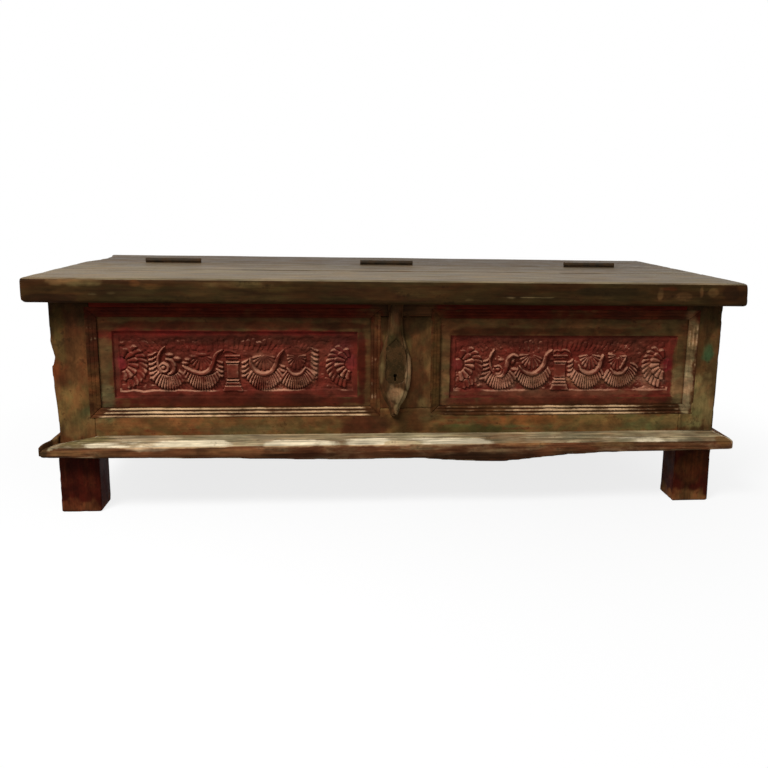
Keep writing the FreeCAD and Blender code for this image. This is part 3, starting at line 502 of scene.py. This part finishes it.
def smooth_line(points, parts=7):
    """Points along a smooth curve through the given ones."""
    points = [np.array(p, float) for p in points]
    points = [2 * points[0] - points[1]] + points + [2 * points[-1] - points[-2]]
    line = []
    for a, b, c, d in zip(points, points[1:], points[2:], points[3:]):
        for step in range(parts):
            t = step / parts
            line.append(0.5 * (2 * b + (c - a) * t + (2 * a - 5 * b + 4 * c - d) * t * t
                               + (3 * b - a - 3 * c + d) * t ** 3))
    return line + [points[-2]]


class Carving:
    """Forms as heights over the sunk ground, of which the highest shows. All in millimetres."""

    def __init__(self, x, z, forms):
        self.x, self.z = x, z
        self.top = np.zeros_like(x)
        for kind, places in forms.items():
            for place in places:
                getattr(self, kind)(*place)

    def lift(self, height):
        self.top = np.maximum(self.top, height)

    def stroke(self, start, end, halves, height):
        """A rounded ridge along a straight line, from one half width to another."""
        run = np.subtract(end, start)
        dx, dz = self.x - start[0], self.z - start[1]
        along = np.clip((dx * run[0] + dz * run[1]) / max(run @ run, 1e-6), 0, 1)
        away = np.hypot(dx - along * run[0], dz - along * run[1])
        half = halves[0] + (halves[1] - halves[0]) * along
        self.lift(ridge(away, half, height * (0.55 + 0.45 * half / max(halves))))

    def curl(self, thin, thick, height, *points):
        """A rounded ridge along a curve, from a thin half width at its ends to a thick one in its middle."""
        line = smooth_line(points)
        for number, (start, end) in enumerate(zip(line, line[1:])):
            shares = [math.sin(math.pi * (number + k) / len(line)) ** 0.6 for k in (0, 1)]
            self.stroke(start, end, [thin + (thick - thin) * share for share in shares], height)

    def mound(self, centre, reach, height):
        """A low oval swelling."""
        away = np.hypot((self.x - centre[0]) / reach[0], (self.z - centre[1]) / reach[1])
        self.lift(height * np.clip(1 - away ** 2.4, 0, 1))

    def lump(self, x, z, reach_x, reach_z, height=4.2):
        """A small rounded leaf."""
        self.mound((x, z), (reach_x * 1.25, reach_z * 1.25), height)

    def fan(self, centre, inner, outer, angles, ribs, height, droop=0.0, crowd=0.0):
        """Ribs from an inner to an outer ellipse, with round tips. They may droop at the sides and crowd midway."""
        dx, dz = self.x - centre[0], self.z - centre[1]
        angle = np.degrees(np.arctan2(dz, dx))
        angle = np.where(angle < angles[0] - 30, angle + 360, angle)
        turn = np.radians(angle)
        near = 1 / np.hypot(np.cos(turn) / inner[0], np.sin(turn) / inner[1])
        far = 1 / np.hypot(np.cos(turn) / outer[0], np.sin(turn) / outer[1])
        out = (np.hypot(dx, dz) - near) / (far - near)
        share = (angle - angles[0] + droop * np.cos(turn) * out) / (angles[1] - angles[0])
        place = (share - crowd * np.sin(2 * math.pi * share)) * ribs
        across = (place - np.floor(place) - 0.5) * 2
        tip = 1 - 0.16 * across ** 2
        inside = (place > 0) & (place < ribs) & (out > -0.02) & (out < tip)
        body = np.sqrt(np.clip(1 - (across * 1.04) ** 2, 0, 1))
        ends = np.sqrt(np.clip(1 - np.clip((out - tip + 0.16) / 0.16, 0, 1) ** 2, 0, 1))
        full = height * ends * (0.08 + 0.92 * body) * (0.66 + 0.34 * np.clip(out, 0, 1))
        self.lift(np.where(inside, full, 0))

    def shell(self, middle, inner, outer, angles, ribs):
        """A ring of ribs round a low swelling."""
        self.fan(middle, inner, outer, angles, ribs, 5.8, 16, 0.05)
        self.mound(middle, (inner[0] * 0.96, inner[1] * 0.96), 1.2)

    def leaf(self, disc, side):
        """Half a palmette round a flat disc: side 1 spreads to the right, -1 to the left."""
        def arc(low, high):
            return (low, high) if side > 0 else (180 - high, 180 - low)
        self.fan(disc, (14, 15), (34, 33), arc(-86, 84), 7, 5.8, 8)
        self.fan((disc[0] + side * 3, disc[1] - 3), (31, 29), (47, 46), arc(-80, 70), 11, 4.6, 14)
        self.mound((disc[0] + side * 34, disc[1] - 12), (13, 30), 2.6)
        self.mound(disc, (12, 13), 2.6)

    def stack(self, tip, root, top, rows, spread=0.0):
        """Short ribs one above another, that droop towards their tips and may spread lower down."""
        for k in range(rows):
            end, low = tip + spread * k, top - 8.8 * k
            bend = end + (root - end) * 0.45
            self.stroke((end, low), (bend, low + 1.5), (2.8, 3.0), 4.2)
            self.stroke((bend, low + 1.5), (root, low + 6), (3.0, 1.2), 3.8)

    def fringe(self, middle, first, last):
        """A shallow row of petals along the top."""
        for k in range(first, last):
            self.stroke((middle + 9.2 * k, 310 + 6 * abs(math.sin(k * 1.3))),
                        (middle + 10.1 * k, 330 + 3 * math.sin(k * 2.1)), (1.6, 4.2), 1.7)

    def block(self, middle, half, low, high, height, edge=1.2, flare=0.0):
        """A flat-topped block, with sloping edges and a foot that may flare."""
        rise = np.clip((self.z - low) / (high - low), 0, 1)
        inside = np.minimum(half + flare * (1 - rise) ** 2 - np.abs(self.x - middle),
                            np.minimum(self.z - low, high - self.z))
        self.lift(height * smooth(0, edge, inside))

    def pedestal(self, middle):
        """The stepped pedestal in the middle of each panel."""
        for block in PEDESTAL:
            self.block(middle, *block)


# The pedestal's blocks, from its top
PEDESTAL = [
    (15, 300, 305, 4.6), (11, 295, 300, 3.0), (13.5, 288.5, 292.5, 5.2), (12, 258.5, 288, 3.4, 1.6),
    (12.5, 253.5, 257.5, 5.2), (13, 246, 252, 4.2, 1.2, 3), (16, 233, 245, 4.8, 1.2, 5)]

# What is carved on the panels: for each kind of form, what its method takes
LEFT_CARVING = {
    "leaf": [((-523, 287), 1), ((-90, 287), -1)],
    "shell": [
        ((-435, 281), (20, 18), (38, 45), (200, 346), 13), ((-372, 286), (32, 23), (39, 51), (190, 340), 16),
        ((-257, 286), (28, 23), (40, 52), (206, 344), 16), ((-196, 284), (21, 18), (43, 48), (208, 350), 16)],
    "stack": [
        (-471, -458, 303, 6, 0.4), (-336, -347, 289, 4), (-297, -287, 289, 4), (-219, -229, 281, 2),
        (-155, -167, 312, 7, -0.5)],
    "fan": [
        ((-200, 288), (29, 32), (42, 45), (30, 150), 12, 1.5), ((-374, 305), (6, 7), (25, 32), (192, 346), 9, 3.8),
        ((-257, 304), (5, 6), (23, 31), (186, 356), 9, 3.8), ((-195, 302), (4, 5), (19, 28), (168, 372), 10, 3.8)],
    "curl": [
        (1.2, 3.0, 5.0, (-441, 321), (-449, 311), (-454, 298), (-454, 283), (-449, 270)),
        (1.4, 2.8, 4.8, (-453, 283), (-447, 273), (-438, 274), (-437, 283), (-445, 288), (-452, 283)),
        (1.6, 4.2, 5.2, (-440, 297), (-430, 293), (-425, 283), (-427, 272), (-436, 267)),
        (1.5, 4.8, 5.6, (-409, 284), (-400, 277), (-386, 270.5), (-371, 269), (-359, 276), (-352, 290), (-346, 306),
         (-335, 314)),
        (1.2, 2.4, 3.0, (-334, 308), (-328, 313), (-318, 312), (-310, 308)),
        (1.4, 4.8, 5.6, (-283, 298), (-281, 284), (-272, 272), (-257, 267), (-243, 272), (-235, 285), (-229, 302),
         (-220, 314)),
        (1.6, 3.8, 5.2, (-213, 278), (-206, 269), (-196, 266), (-186, 269), (-178, 279))],
    "lump": [
        (-446, 280, 5, 5), (-412, 262, 9, 5), (-402, 256, 7, 6), (-433, 304, 8, 4), (-420, 296, 7, 5),
        (-404, 288, 7, 3.5), (-398, 295, 8, 3.5), (-388, 301, 9, 3.5), (-372, 305, 11, 4), (-216, 250, 4, 13, 3.0),
        (-226, 262, 3, 8, 3.0)],
    "pedestal": [(-316,)],
    "fringe": [(-316, -17, 11)],
}
RIGHT_CARVING = {
    "leaf": [((119, 284), 1), ((541, 285), -1)],
    "shell": [
        ((203, 281), (22, 20), (40, 47), (204, 340), 13), ((269, 286), (31, 24), (40, 51), (190, 350), 18),
        ((378, 286), (28, 23), (39, 52), (204, 348), 15), ((444, 285), (24, 21), (41, 48), (206, 372), 18)],
    "stack": [(171, 183, 291, 5, -2.0), (342, 350, 289, 4)],
    "fan": [
        ((438, 290), (27, 26), (38, 38), (40, 140), 10, 1.4), ((265, 306), (6, 7), (25, 32), (180, 344), 9, 4.0),
        ((384, 305), (5, 6), (23, 31), (184, 356), 9, 4.0), ((441, 302), (4, 5), (20, 30), (160, 366), 10, 4.0)],
    "curl": [
        (1.2, 2.8, 4.8, (190, 315), (184, 304), (182, 290), (185, 276), (193, 264)),
        (1.5, 4.7, 5.8, (196, 262), (206, 262), (213, 271), (216, 284), (220, 297), (228, 304), (238, 302)),
        (1.4, 2.6, 4.6, (190, 276), (193, 267), (203, 267), (207, 275), (201, 282), (192, 281)),
        (1.5, 4.9, 5.8, (242, 282), (248, 272), (259, 267), (270, 266), (282, 273), (291, 287), (296, 305),
         (306, 314)),
        (1.2, 2.4, 3.0, (308, 306), (314, 313), (324, 312), (332, 314), (342, 310), (346, 303)),
        (1.5, 4.7, 5.8, (362, 284), (368, 273), (381, 267), (395, 270), (403, 279), (407, 294), (411, 304)),
        (1.6, 3.8, 5.4, (428, 276), (434, 268), (444, 265), (455, 269), (462, 279)),
        (1.4, 3.0, 5.0, (446, 276), (452, 286), (457, 298))],
    "lump": [(199, 275, 5, 4), (204, 294, 7, 3.5), (228, 290, 5, 6), (234, 274, 7, 4), (222, 256, 8, 5)],
    "pedestal": [(324,)],
    "fringe": [(324, -17, 15)],
}

# Carved panels, in millimetres

BORDER_CELL = 4.0
FIELD_DEPTH = 5.0
GROUND_DEPTH = 3.4
RELIEF_SCALE = 1.45


def grid_lines(low, high, fine_low, fine_high, fine, coarse):
    """Places from low to high, close together between the fine limits."""
    def run(start, end, step):
        return np.linspace(start, end, max(2, int(round((end - start) / step)) + 1))
    return np.unique(np.concatenate([
        run(low, fine_low, coarse), run(fine_low, fine_high, fine), run(fine_high, high, coarse)]).round(5))


def blurred(heights, reach):
    """A grid of heights, averaged twice over a square window."""
    for axis in (0, 1, 0, 1):
        padded = np.concatenate([
            heights.take([0] * (reach + 1), axis), heights, heights.take([-1] * reach, axis)], axis)
        sums = np.cumsum(padded, axis)
        size = heights.shape[axis]
        ahead = sums.take(np.arange(size) + 2 * reach + 1, axis)
        behind = sums.take(np.arange(size), axis)
        heights = (ahead - behind) / (2 * reach + 1)
    return heights


def closed_sheet(name, x, y, z, low, high):
    """A mesh with a grid of places as its front, walls round the rim and a flat back, and the mesh's points."""
    count = x.size
    front = np.stack([x.ravel(), y.ravel(), z.ravel()], axis=1)
    index = np.arange(count).reshape(x.shape)
    rim = np.concatenate([index[0, :-1], index[:-1, -1], index[-1, :0:-1], index[:0:-1, 0]])
    back = front[rim].copy()
    back[:, 1] = high[1]
    middle = np.array([[(low[0] + high[0]) / 2, high[1], (low[2] + high[2]) / 2]])
    points = np.concatenate([front, back, middle]) * MM
    quads = np.stack([index[:-1, :-1], index[:-1, 1:], index[1:, 1:], index[1:, :-1]], axis=-1).reshape(-1, 4)
    behind = count + np.arange(len(rim))
    after = np.roll(np.arange(len(rim)), -1)
    walls = np.stack([rim, behind, count + after, rim[after]], axis=-1)
    wedges = np.stack([behind, np.full(len(rim), count + len(rim)), count + after], axis=-1)
    mesh = bpy.data.meshes.new(name)
    mesh.from_pydata(points.tolist(), [], quads.tolist() + walls.tolist() + wedges.tolist())
    return mesh, points


def within_box(x, z, box, top_share=1.0):
    """How far each place lies inside a box of (low x, high x, low z, high z)."""
    return np.minimum(np.minimum(x - box[0], box[1] - x), np.minimum(z - box[2], top_share * (box[3] - z)))


def carved_panel(side, field, carved, forms, seed, bared):
    """A carved panel: flat border, red field and, in the field's deeper middle, the carving.

    field and carved are (low x, high x, low z, high z), and bared is how much more of the paint is gone.
    """
    node = "front_panel_" + side
    low, high = (np.array(corner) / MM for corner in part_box(node))
    xs = grid_lines(low[0], high[0], field[0] - 4, field[1] + 4, CELL_SCALE, BORDER_CELL)
    zs = grid_lines(low[2], high[2], field[2] - 4, field[3] + 4, CELL_SCALE, BORDER_CELL)
    x, z = np.meshgrid(xs, zs)
    flat = np.stack([x.ravel() * MM, np.full(x.size, low[1] * MM), z.ravel() * MM], axis=1)

    def cloudy(per_metre, seed_step, layers):
        return clouds(flat, per_metre, seed + seed_step, layers).reshape(x.shape)

    wobble = cloudy((60, 1, 60), 0, 3) - 0.5
    inside = within_box(x, z, field)
    cut = within_box(x, z, carved, 0.25) + wobble * 5
    depth = FIELD_DEPTH * smooth(0, 2.2, inside + wobble * 1.2)
    depth = depth + GROUND_DEPTH * smooth(0, 3.0, cut)
    relief = RELIEF_SCALE * Carving(x, z, forms).top * smooth(-1, 2.5, cut)
    rubbed = cloudy((22, 1, 22), 3, 2)
    within = smooth(0, 3, cut)
    rough = np.abs(cloudy((75, 1, 95), 4, 3) - 0.5)
    relief = relief * (0.82 + 0.3 * rubbed) + within * 10.0 * rough * (1 - 0.8 * smooth(0.5, 4, relief))
    mesh, points = closed_sheet("carved_" + node, x, low[1] + depth - relief + wobble * 0.35, z, low, high)
    hidden = np.zeros(len(points) - x.size)
    proud = relief - blurred(relief, max(2, int(round(3.0 / CELL_SCALE))))
    upward = -np.gradient(relief, axis=0) / np.gradient(zs)[:, None]
    # Painted light on the carving: slopes that face up, and the ledge along its bottom, are painted paler as a
    # painted highlight. Slopes that face down, and the hollows between forms, are darkened as painted shade. Crests
    # and high parts are also worn paler, and the carving is paler towards its bottom.
    ledge_highlight = smooth(2.4, 0.8, np.abs(cut - 0.4)) * (z < carved[2] + 6) * smooth(0.25, 0.6, rubbed)
    wear_and_light = within * (smooth(-0.8, 2.2, proud) * 0.22 + smooth(2.0, 8.0, relief) * 0.14
                     + 0.5 * smooth(0.05, 0.9, upward) + 0.16 * smooth(310, 250, z))
    wear_and_light = (wear_and_light + within * bared + (rubbed - 0.5) * 0.4 + 0.1 * smooth(2.0, 1.2, np.abs(inside)) + ledge_highlight).ravel()
    dirt_and_shade = (within * (smooth(0.0, -2.4, proud) * 0.25 + 0.4 * smooth(0.1, 0.9, -upward))).ravel()
    tint = colour_layer(points, PANEL_SPOTS, seed + 9)
    write_layers(mesh, np.append(wear_and_light, hidden), np.append(dirt_and_shade, hidden), tint)
    place_piece("carved_" + node, mesh, "carcass", ["field", "border", "bare_x"], [node])
    centre_x = (x[:-1, :-1] + x[1:, 1:]) / 2
    centre_z = (z[:-1, :-1] + z[1:, 1:]) / 2
    ground = within_box(centre_x, centre_z, field) > 0
    slots = np.full(len(mesh.polygons), 2, np.int32)
    slots[:ground.size] = np.where(ground.ravel(), 0, 1)
    mesh.polygons.foreach_set("material_index", slots)
    mesh.update()


# Reeded mouldings, in millimetres

# How far the crests are rubbed, which also paints the lit bottom and right lengths paler and the shaded top and left
# ones darker, and how deep the reeding still is, on the bottom, right, top and left lengths
REED_WEAR_AND_LIGHT = {"left": (0.7, 0.2, -0.3, 0.1), "right": (0.5, 0.35, -0.3, -0.3)}
REED_DEPTH = {"left": (1.0, 0.5, 0.5, 0.2), "right": (1.0, 0.25, 0.5, 0.2)}
REED_LAP = 3.0
REED_WIDTH = 6.3
REED_ROUND = 2.2
REED_SHOULDERS = (9.2, 6.4, 3.9)
REED_STEPS = 8
STATION = 4


def reed_section():
    """(inward, out, crest) across three reeds that step down to the panel; the first laps the frame."""
    section = [(-REED_LAP, 0.0, 0.0), (-REED_LAP, 8.8, 0.0)]
    for reed, shoulder in enumerate(REED_SHOULDERS):
        near = reed * REED_WIDTH - REED_LAP
        for step in range(REED_STEPS + 1):
            turn = math.pi * step / REED_STEPS
            across = near + REED_WIDTH / 2 * (1 - math.cos(turn))
            section.append((across, shoulder + REED_ROUND * math.sin(turn), math.sin(turn)))
    return section + [(15.9, 0.0, 0.0)]


def reeded_frame(side, seed):
    """Four mitred lengths of reeding round one opening."""
    node = "reeds_" + side + "_panel"
    low, high = (np.array(corner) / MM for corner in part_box(node))
    corners = [(low[0], low[2]), (high[0], low[2]), (high[0], high[2]), (low[0], high[2])]
    section = reed_section()
    size = len(section)
    points, faces, rubs_and_light, depths = [], [], [], []
    for number in range(4):
        start, end = np.array(corners[number]), np.array(corners[(number + 1) % 4])
        run = (end - start) / np.linalg.norm(end - start)
        inward = np.array([-run[1], run[0]])
        stations = max(2, int(np.linalg.norm(end - start) / STATION))
        first = len(points)
        for station in range(stations + 1):
            share = station / stations
            reach = min(share, 1 - share) * stations * STATION
            deep = REED_DEPTH[side][number] * (1 - 0.6 * smooth(34, 12, reach))
            rubs_and_light += [REED_WEAR_AND_LIGHT[side][number] - 0.5 * smooth(24, 10, reach)] * size
            depths += [REED_DEPTH[side][number]] * size
            for across, full, _ in section:
                level = 10.6 - 0.33 * (across + REED_LAP)
                out = level + (full - level) * deep if full > 0.5 else full
                near = start + (inward + run) * across
                far = end + (inward - run) * across
                flat = near + (far - near) * share
                points.append((flat[0], high[1] - out, flat[1]))
        for station, k in itertools.product(range(stations), range(size)):
            base, after = first + station * size, (k + 1) % size
            faces.append((base + k, base + size + k, base + size + after, base + after))
        faces.append(tuple(first + k for k in range(size)))
        faces.append(tuple(first + stations * size + k for k in reversed(range(size))))
    points = np.array(points) * MM
    out = (high[1] * MM - points[:, 1]) / (9 * MM)
    rubbed = smooth(0.5, 0.8, clouds(points, (30, 30, 30), seed, 3))
    points[:, 1] += rubbed * 1.3 * MM * smooth(0.15, 0.6, out)
    wobble = clouds(points, (14, 14, 14), seed + 2, 2) - 0.5
    points[:, 1] += wobble * 0.5 * MM * smooth(0.1, 0.4, out)
    mesh = bpy.data.meshes.new("worn_" + node)
    mesh.from_pydata(points.tolist(), [], faces)
    crest = np.resize([place[2] for place in section], len(points))
    bare = clouds(points, (5, 5, 5), seed + 3, 3) - 0.5
    # Crests are worn paler by the per-length table above, which also paints highlight on the lit bottom and right
    # lengths and shade on the top and left ones; the grooves are darker, more where the reeding is deep.
    wear_and_light = smooth(0.5, 1.0, crest) * (np.array(rubs_and_light) + bare * 0.9) + rubbed * 0.2
    write_layers(mesh, wear_and_light, (1 - crest) * 0.6 * np.array(depths), colour_layer(points, REED_SPOTS, seed + 20))
    place_piece("worn_" + node, mesh, "carcass", ["reed"], [node])


# Forms, which move the points in place, and wear, painted highlight and darkening of single pieces

BOSS_FOOT = 186
BOSS_ROW = 3
BOSS_ROWS = 75


def rounded_boss(points):
    """The boss falls away towards its outline, and its face is uneven."""
    mm = points / MM
    rows = np.clip(((mm[:, 2] - BOSS_FOOT) / BOSS_ROW).astype(int), 0, BOSS_ROWS - 1)
    left = np.full(BOSS_ROWS, 1e6)
    right = np.full(BOSS_ROWS, -1e6)
    np.minimum.at(left, rows, mm[:, 0])
    np.maximum.at(right, rows, mm[:, 0])
    inside = np.minimum(mm[:, 0] - left[rows], right[rows] - mm[:, 0])
    inside = np.minimum(inside, (mm[:, 2] - BOSS_FOOT) * 0.6)
    front = smooth(-279, -284, mm[:, 1])
    fall = 5.5 * (1 - smooth(0, 11, inside)) * front
    cut = 1.4 * smooth(0.45, 0.75, clouds(points, (60, 10, 24), 91, 2)) * front
    points[:, 1] += (fall + cut) * MM


def leaning_post(points):
    """The left post is a little narrower below its old bruise, and its leg a little wider inside."""
    x, _, z = points.T
    x += 5.2 * MM * smooth(-0.600, -0.640, x) * smooth(0.28, 0.18, z) * smooth(0.10, 0.14, z)
    x += 2.0 * MM * smooth(-0.602, -0.582, x) * smooth(0.13, 0.11, z)


def wider_post(points):
    """The right post is a little wider, most at its foot."""
    x, _, z = points.T
    x += (2.0 + 1.5 * smooth(0.12, 0.0, z)) * MM * smooth(0.600, 0.640, x)


def short_left_end(points):
    """The plinth's left end is worn back, and the left side's moulding is narrower."""
    x, y, z = points.T
    beyond = np.clip(-0.650 - x, 0, None)
    z += 2 * MM * smooth(0.0, 0.016, beyond) * smooth(0.122, 0.140, z)
    back = smooth(-0.298, -0.258, y)
    x += np.minimum(0.32 + 0.5 * back + 0.2 * smooth(0.136, 0.152, z), 0.8) * beyond


def rubbed_and_lit_nose(points):
    """Wear and a painted highlight along the upper part of the plinth's nose, which faces up to the light."""
    patchy = clouds(points, (14, 40, 40), 57, 3)
    left = 1 - 0.5 * smooth(0.1, 0.4, points[:, 0])
    nose = left * 1.6 * smooth(0.3, 0.8, patchy) * smooth(0.007, 0.002, np.abs(points[:, 2] - 0.139))
    return nose + dark_end(points)


def dark_end(points):
    """No bare wood on the plinth's left end."""
    return -1.2 * smooth(-0.592, -0.632, points[:, 0])


# The plinth's face darkens towards its bottom.
def darker_plinth_bottom(points):
    return 0.5 * smooth(0.130, 0.118, points[:, 2])


# Second materials, each with the test for the faces that have it
LEG = ("leg", lambda centres, facing: centres[:, 2] < 0.12)
EDGE = ("lid_edge", lambda centres, facing: facing[:, 2] < 0.75)
FACE = ("plinth", lambda centres, facing: (facing[:, 2] < 0.55) & (centres[:, 2] < 0.142))

POST = dict(material="frame_z", second=LEG, lump=0.5, slot="post_paint")
FRONT_POST = dict(POST, chip=2.2, spots=FRONT + FEET, rub=0.4)
BACK_POST = dict(POST, chip=2.0, spots=FEET, cell=3.5)
FRONT_RAIL = dict(slot="frame_paint", rub=0.2)
SIDE_RAIL = dict(material="side_x", cell=3.0, slot="side_paint")
SIDE_PANEL = dict(SIDE_RAIL, cell=3.5, lump=0.5)
BACK_RAIL = dict(material="frame_x", cell=3.5, slot="bare_wood")
BACK_PANEL = dict(BACK_RAIL, cell=4.0, lump=0.5)
SIDE_PLINTH = dict(material="plinth_side", lump=0.8, chip=2.4, slot="plinth_wood", stretch=(22, 9, 22), swell=1.2)
BOARD = dict(material="top", second=EDGE, cell=3.0, lump=0.7, slot="top_wood", stretch=(5, 20, 14))
WOOD = {
    "corner_post_front_left": dict(FRONT_POST, form=leaning_post),
    "corner_post_front_right": dict(FRONT_POST, form=wider_post),
    "corner_post_back_left": BACK_POST,
    "corner_post_back_right": BACK_POST,
    "front_top_rail": dict(FRONT_RAIL, material="rail_top", cell=3.0, spots=RAIL_SPOTS),
    "front_bottom_rail": dict(FRONT_RAIL, material="frame_x", spots=FRONT),
    "front_muntin": dict(FRONT_RAIL, material="frame_z", spots=FRONT),
    "side_left_top_rail": SIDE_RAIL,
    "side_left_bottom_rail": SIDE_RAIL,
    "side_left_panel": SIDE_PANEL,
    "side_right_top_rail": SIDE_RAIL,
    "side_right_bottom_rail": SIDE_RAIL,
    "side_right_panel": SIDE_PANEL,
    "back_top_rail": BACK_RAIL,
    "back_bottom_rail": BACK_RAIL,
    "back_muntin": dict(BACK_RAIL, material="frame_z"),
    "back_panel_left": BACK_PANEL,
    "back_panel_right": BACK_PANEL,
    "plinth_front": dict(material="plinth_top", second=FACE, cell=2.2, lump=0.9, chip=2.6, slot="plinth_wood",
                         stretch=(9, 22, 22), spots=PLINTH_SPOTS, swell=1.6, form=short_left_end,
                         wear_and_light=rubbed_and_lit_nose, grime_and_shade=darker_plinth_bottom),
    "plinth_left": dict(SIDE_PLINTH, form=short_left_end, wear_and_light=dark_end, spots=PLINTH_SPOTS),
    "plinth_right": SIDE_PLINTH,
    "lock_boss": dict(material="boss", cell=1.3, lump=0.5, chip=1.2, slot="boss_wood", form=rounded_boss,
                      stretch=(40, 40, 24), spots=BOSS_SPOTS, swell=0.2, rub=0.35),
    # The dark patches over the rear board and the lid's rear plank are painted shade, darker towards the back of the
    # top.
    "rear_top_board": dict(BOARD, chip=2.0, spots=[(-60, 190, 453, 900, 240, 30, "4d3d29", 0.85)]),
    "lid_front_plank": dict(BOARD, cell=2.8, chip=2.2, spots=EDGE_SPOTS),
    "lid_rear_plank": dict(BOARD, lump=0.5, chip=1.6, spots=[(0, 20, 453, 900, 90, 30, "564732", 0.6)]),
}
for seed, (node, looks) in enumerate(WOOD.items(), 3):
    worn_piece(node, seed, **looks)
carved_panel("left", (-536, -78, 222, 351), (-525, -87, 234.5, 343), LEFT_CARVING, 71, -0.02)
carved_panel("right", (102, 561, 219, 344), (112, 547, 232.5, 339), RIGHT_CARVING, 72, 0.11)
reeded_frame("left", 81)
reeded_frame("right", 82)

for node in frame["nodes"]:
    thing = frame["nodes"][node]
    if thing.hide_render:
        continue
    if "hinge_" in node or "screws" in node:
        finish = "iron"
    elif node == "lock_plate":
        finish = "lock_iron"
    else:
        finish = "bare_y" if "batten" in node else "bare_x"
    thing.data.materials.clear()
    thing.data.materials.append(MATERIALS[finish])

# Camera, light and floor

# The fitted camera: the photograph's side, focal length and lens's middle in pixels, and angles in degrees
IMAGE_SIDE = 768
FOCAL_LENGTH = 825.4
LENS_MIDDLE = (424.7, 364.7)
YAW, PITCH, ROLL = (math.radians(angle) for angle in (5.93, 11.25, 1.08))
EYE = Vector((-0.1106, -1.8319, 0.6003))
SENSOR_WIDTH = 36

WORLD_LIGHT = 0.18
SHOWN_GREY, THROWN_GREY = 0.86, 0.4
FLOOR_HALF = 9


def camera():
    """The photograph's view, whose middle isn't the lens's middle."""
    ahead = Vector((math.sin(YAW) * math.cos(PITCH), math.cos(YAW) * math.cos(PITCH), -math.sin(PITCH)))
    level = Vector((math.cos(YAW), -math.sin(YAW), 0))
    upright = level.cross(ahead)
    right = level * math.cos(ROLL) + upright * math.sin(ROLL)
    up = upright * math.cos(ROLL) - level * math.sin(ROLL)
    data = bpy.data.cameras.new("view")
    data.sensor_width = SENSOR_WIDTH
    data.lens = SENSOR_WIDTH * FOCAL_LENGTH / IMAGE_SIDE
    data.shift_x = (IMAGE_SIDE / 2 - LENS_MIDDLE[0]) / IMAGE_SIDE
    data.shift_y = (LENS_MIDDLE[1] - IMAGE_SIDE / 2) / IMAGE_SIDE
    eye = new_object("view", data)
    eye.matrix_world = Matrix.Translation(EYE) @ Matrix((right, up, -ahead)).transposed().to_4x4()
    bpy.context.scene.camera = eye


def lamp(name, place, aim, size, power):
    data = bpy.data.lights.new(name, "AREA")
    data.shape = "RECTANGLE"
    data.size, data.size_y = size
    data.energy = power
    light = new_object(name, data)
    light.location = place
    light.rotation_mode = "QUATERNION"
    light.rotation_quaternion = (Vector(aim) - Vector(place)).to_track_quat("-Z", "Y")


def seen_share(tree):
    """1 for rays that see a white background: from the camera, or by mirror or glass."""
    rays = add_node(tree, "LightPath").outputs
    total = rays["Is Camera Ray"]
    for name in ("Is Glossy Ray", "Is Transmission Ray"):
        total = add_node(tree, "Math", {0: total, 1: rays[name]}, operation="MAXIMUM").outputs[0]
    return total


def surroundings():
    """A world that shows white and lights the object faintly."""
    world = bpy.data.worlds.new("studio")
    bpy.context.scene.world = world
    tree = clear_tree(world)
    faint, white = (add_node(tree, "Background", {"Color": (1, 1, 1, 1), "Strength": strength}).outputs[0]
                    for strength in (WORLD_LIGHT, 1.0))
    mixed = add_node(tree, "MixShader", {0: seen_share(tree), 1: faint, 2: white})
    add_node(tree, "OutputWorld", {0: mixed.outputs[0]})


def floor():
    """A floor that is seen as white but for a light shadow, and throws back little light."""
    mesh = bpy.data.meshes.new("floor")
    corners = [(x * FLOOR_HALF, y * FLOOR_HALF, 0) for x, y in ((-1, -1), (1, -1), (1, 1), (-1, 1))]
    mesh.from_pydata(corners, [], [(0, 1, 2, 3)])
    ground = new_object("floor", mesh)
    material = bpy.data.materials.new("white_floor")
    tree = clear_tree(material)
    seen = seen_share(tree)
    shown, thrown = (add_node(tree, "BsdfDiffuse", {"Color": (grey, grey, grey, 1)}).outputs[0]
                     for grey in (SHOWN_GREY, THROWN_GREY))
    matt = add_node(tree, "MixShader", {0: seen, 1: thrown, 2: shown}).outputs[0]
    glow = add_node(tree, "Emission", {"Strength": 1.0}).outputs[0]
    place = add_node(tree, "TexCoord").outputs["Object"]
    away = add_node(tree, "VectorMath", {0: place}, operation="LENGTH").outputs["Value"]
    share = add_node(tree, "MapRange", {
        "Value": away, "From Min": 0.4, "From Max": 1.3, "To Min": 0.8, "To Max": 1.0},
        interpolation_type="SMOOTHSTEP").outputs[0]
    share = add_node(tree, "Math", {0: seen, 1: share}, operation="MULTIPLY").outputs[0]
    mixed = add_node(tree, "MixShader", {0: share, 1: matt, 2: glow})
    add_node(tree, "OutputMaterial", {0: mixed.outputs[0]})
    mesh.materials.append(material)


camera()
surroundings()
floor()
lamp("overhead", (-1.3, -1.8, 2.3), (0, -0.1, 0.3), (1.1, 0.9), 100)
lamp("front", (1.4, -2.8, 1.2), (0.1, -0.2, 0.3), (1.6, 1.2), 13)

view = bpy.context.scene.view_settings
view.view_transform = "Standard"
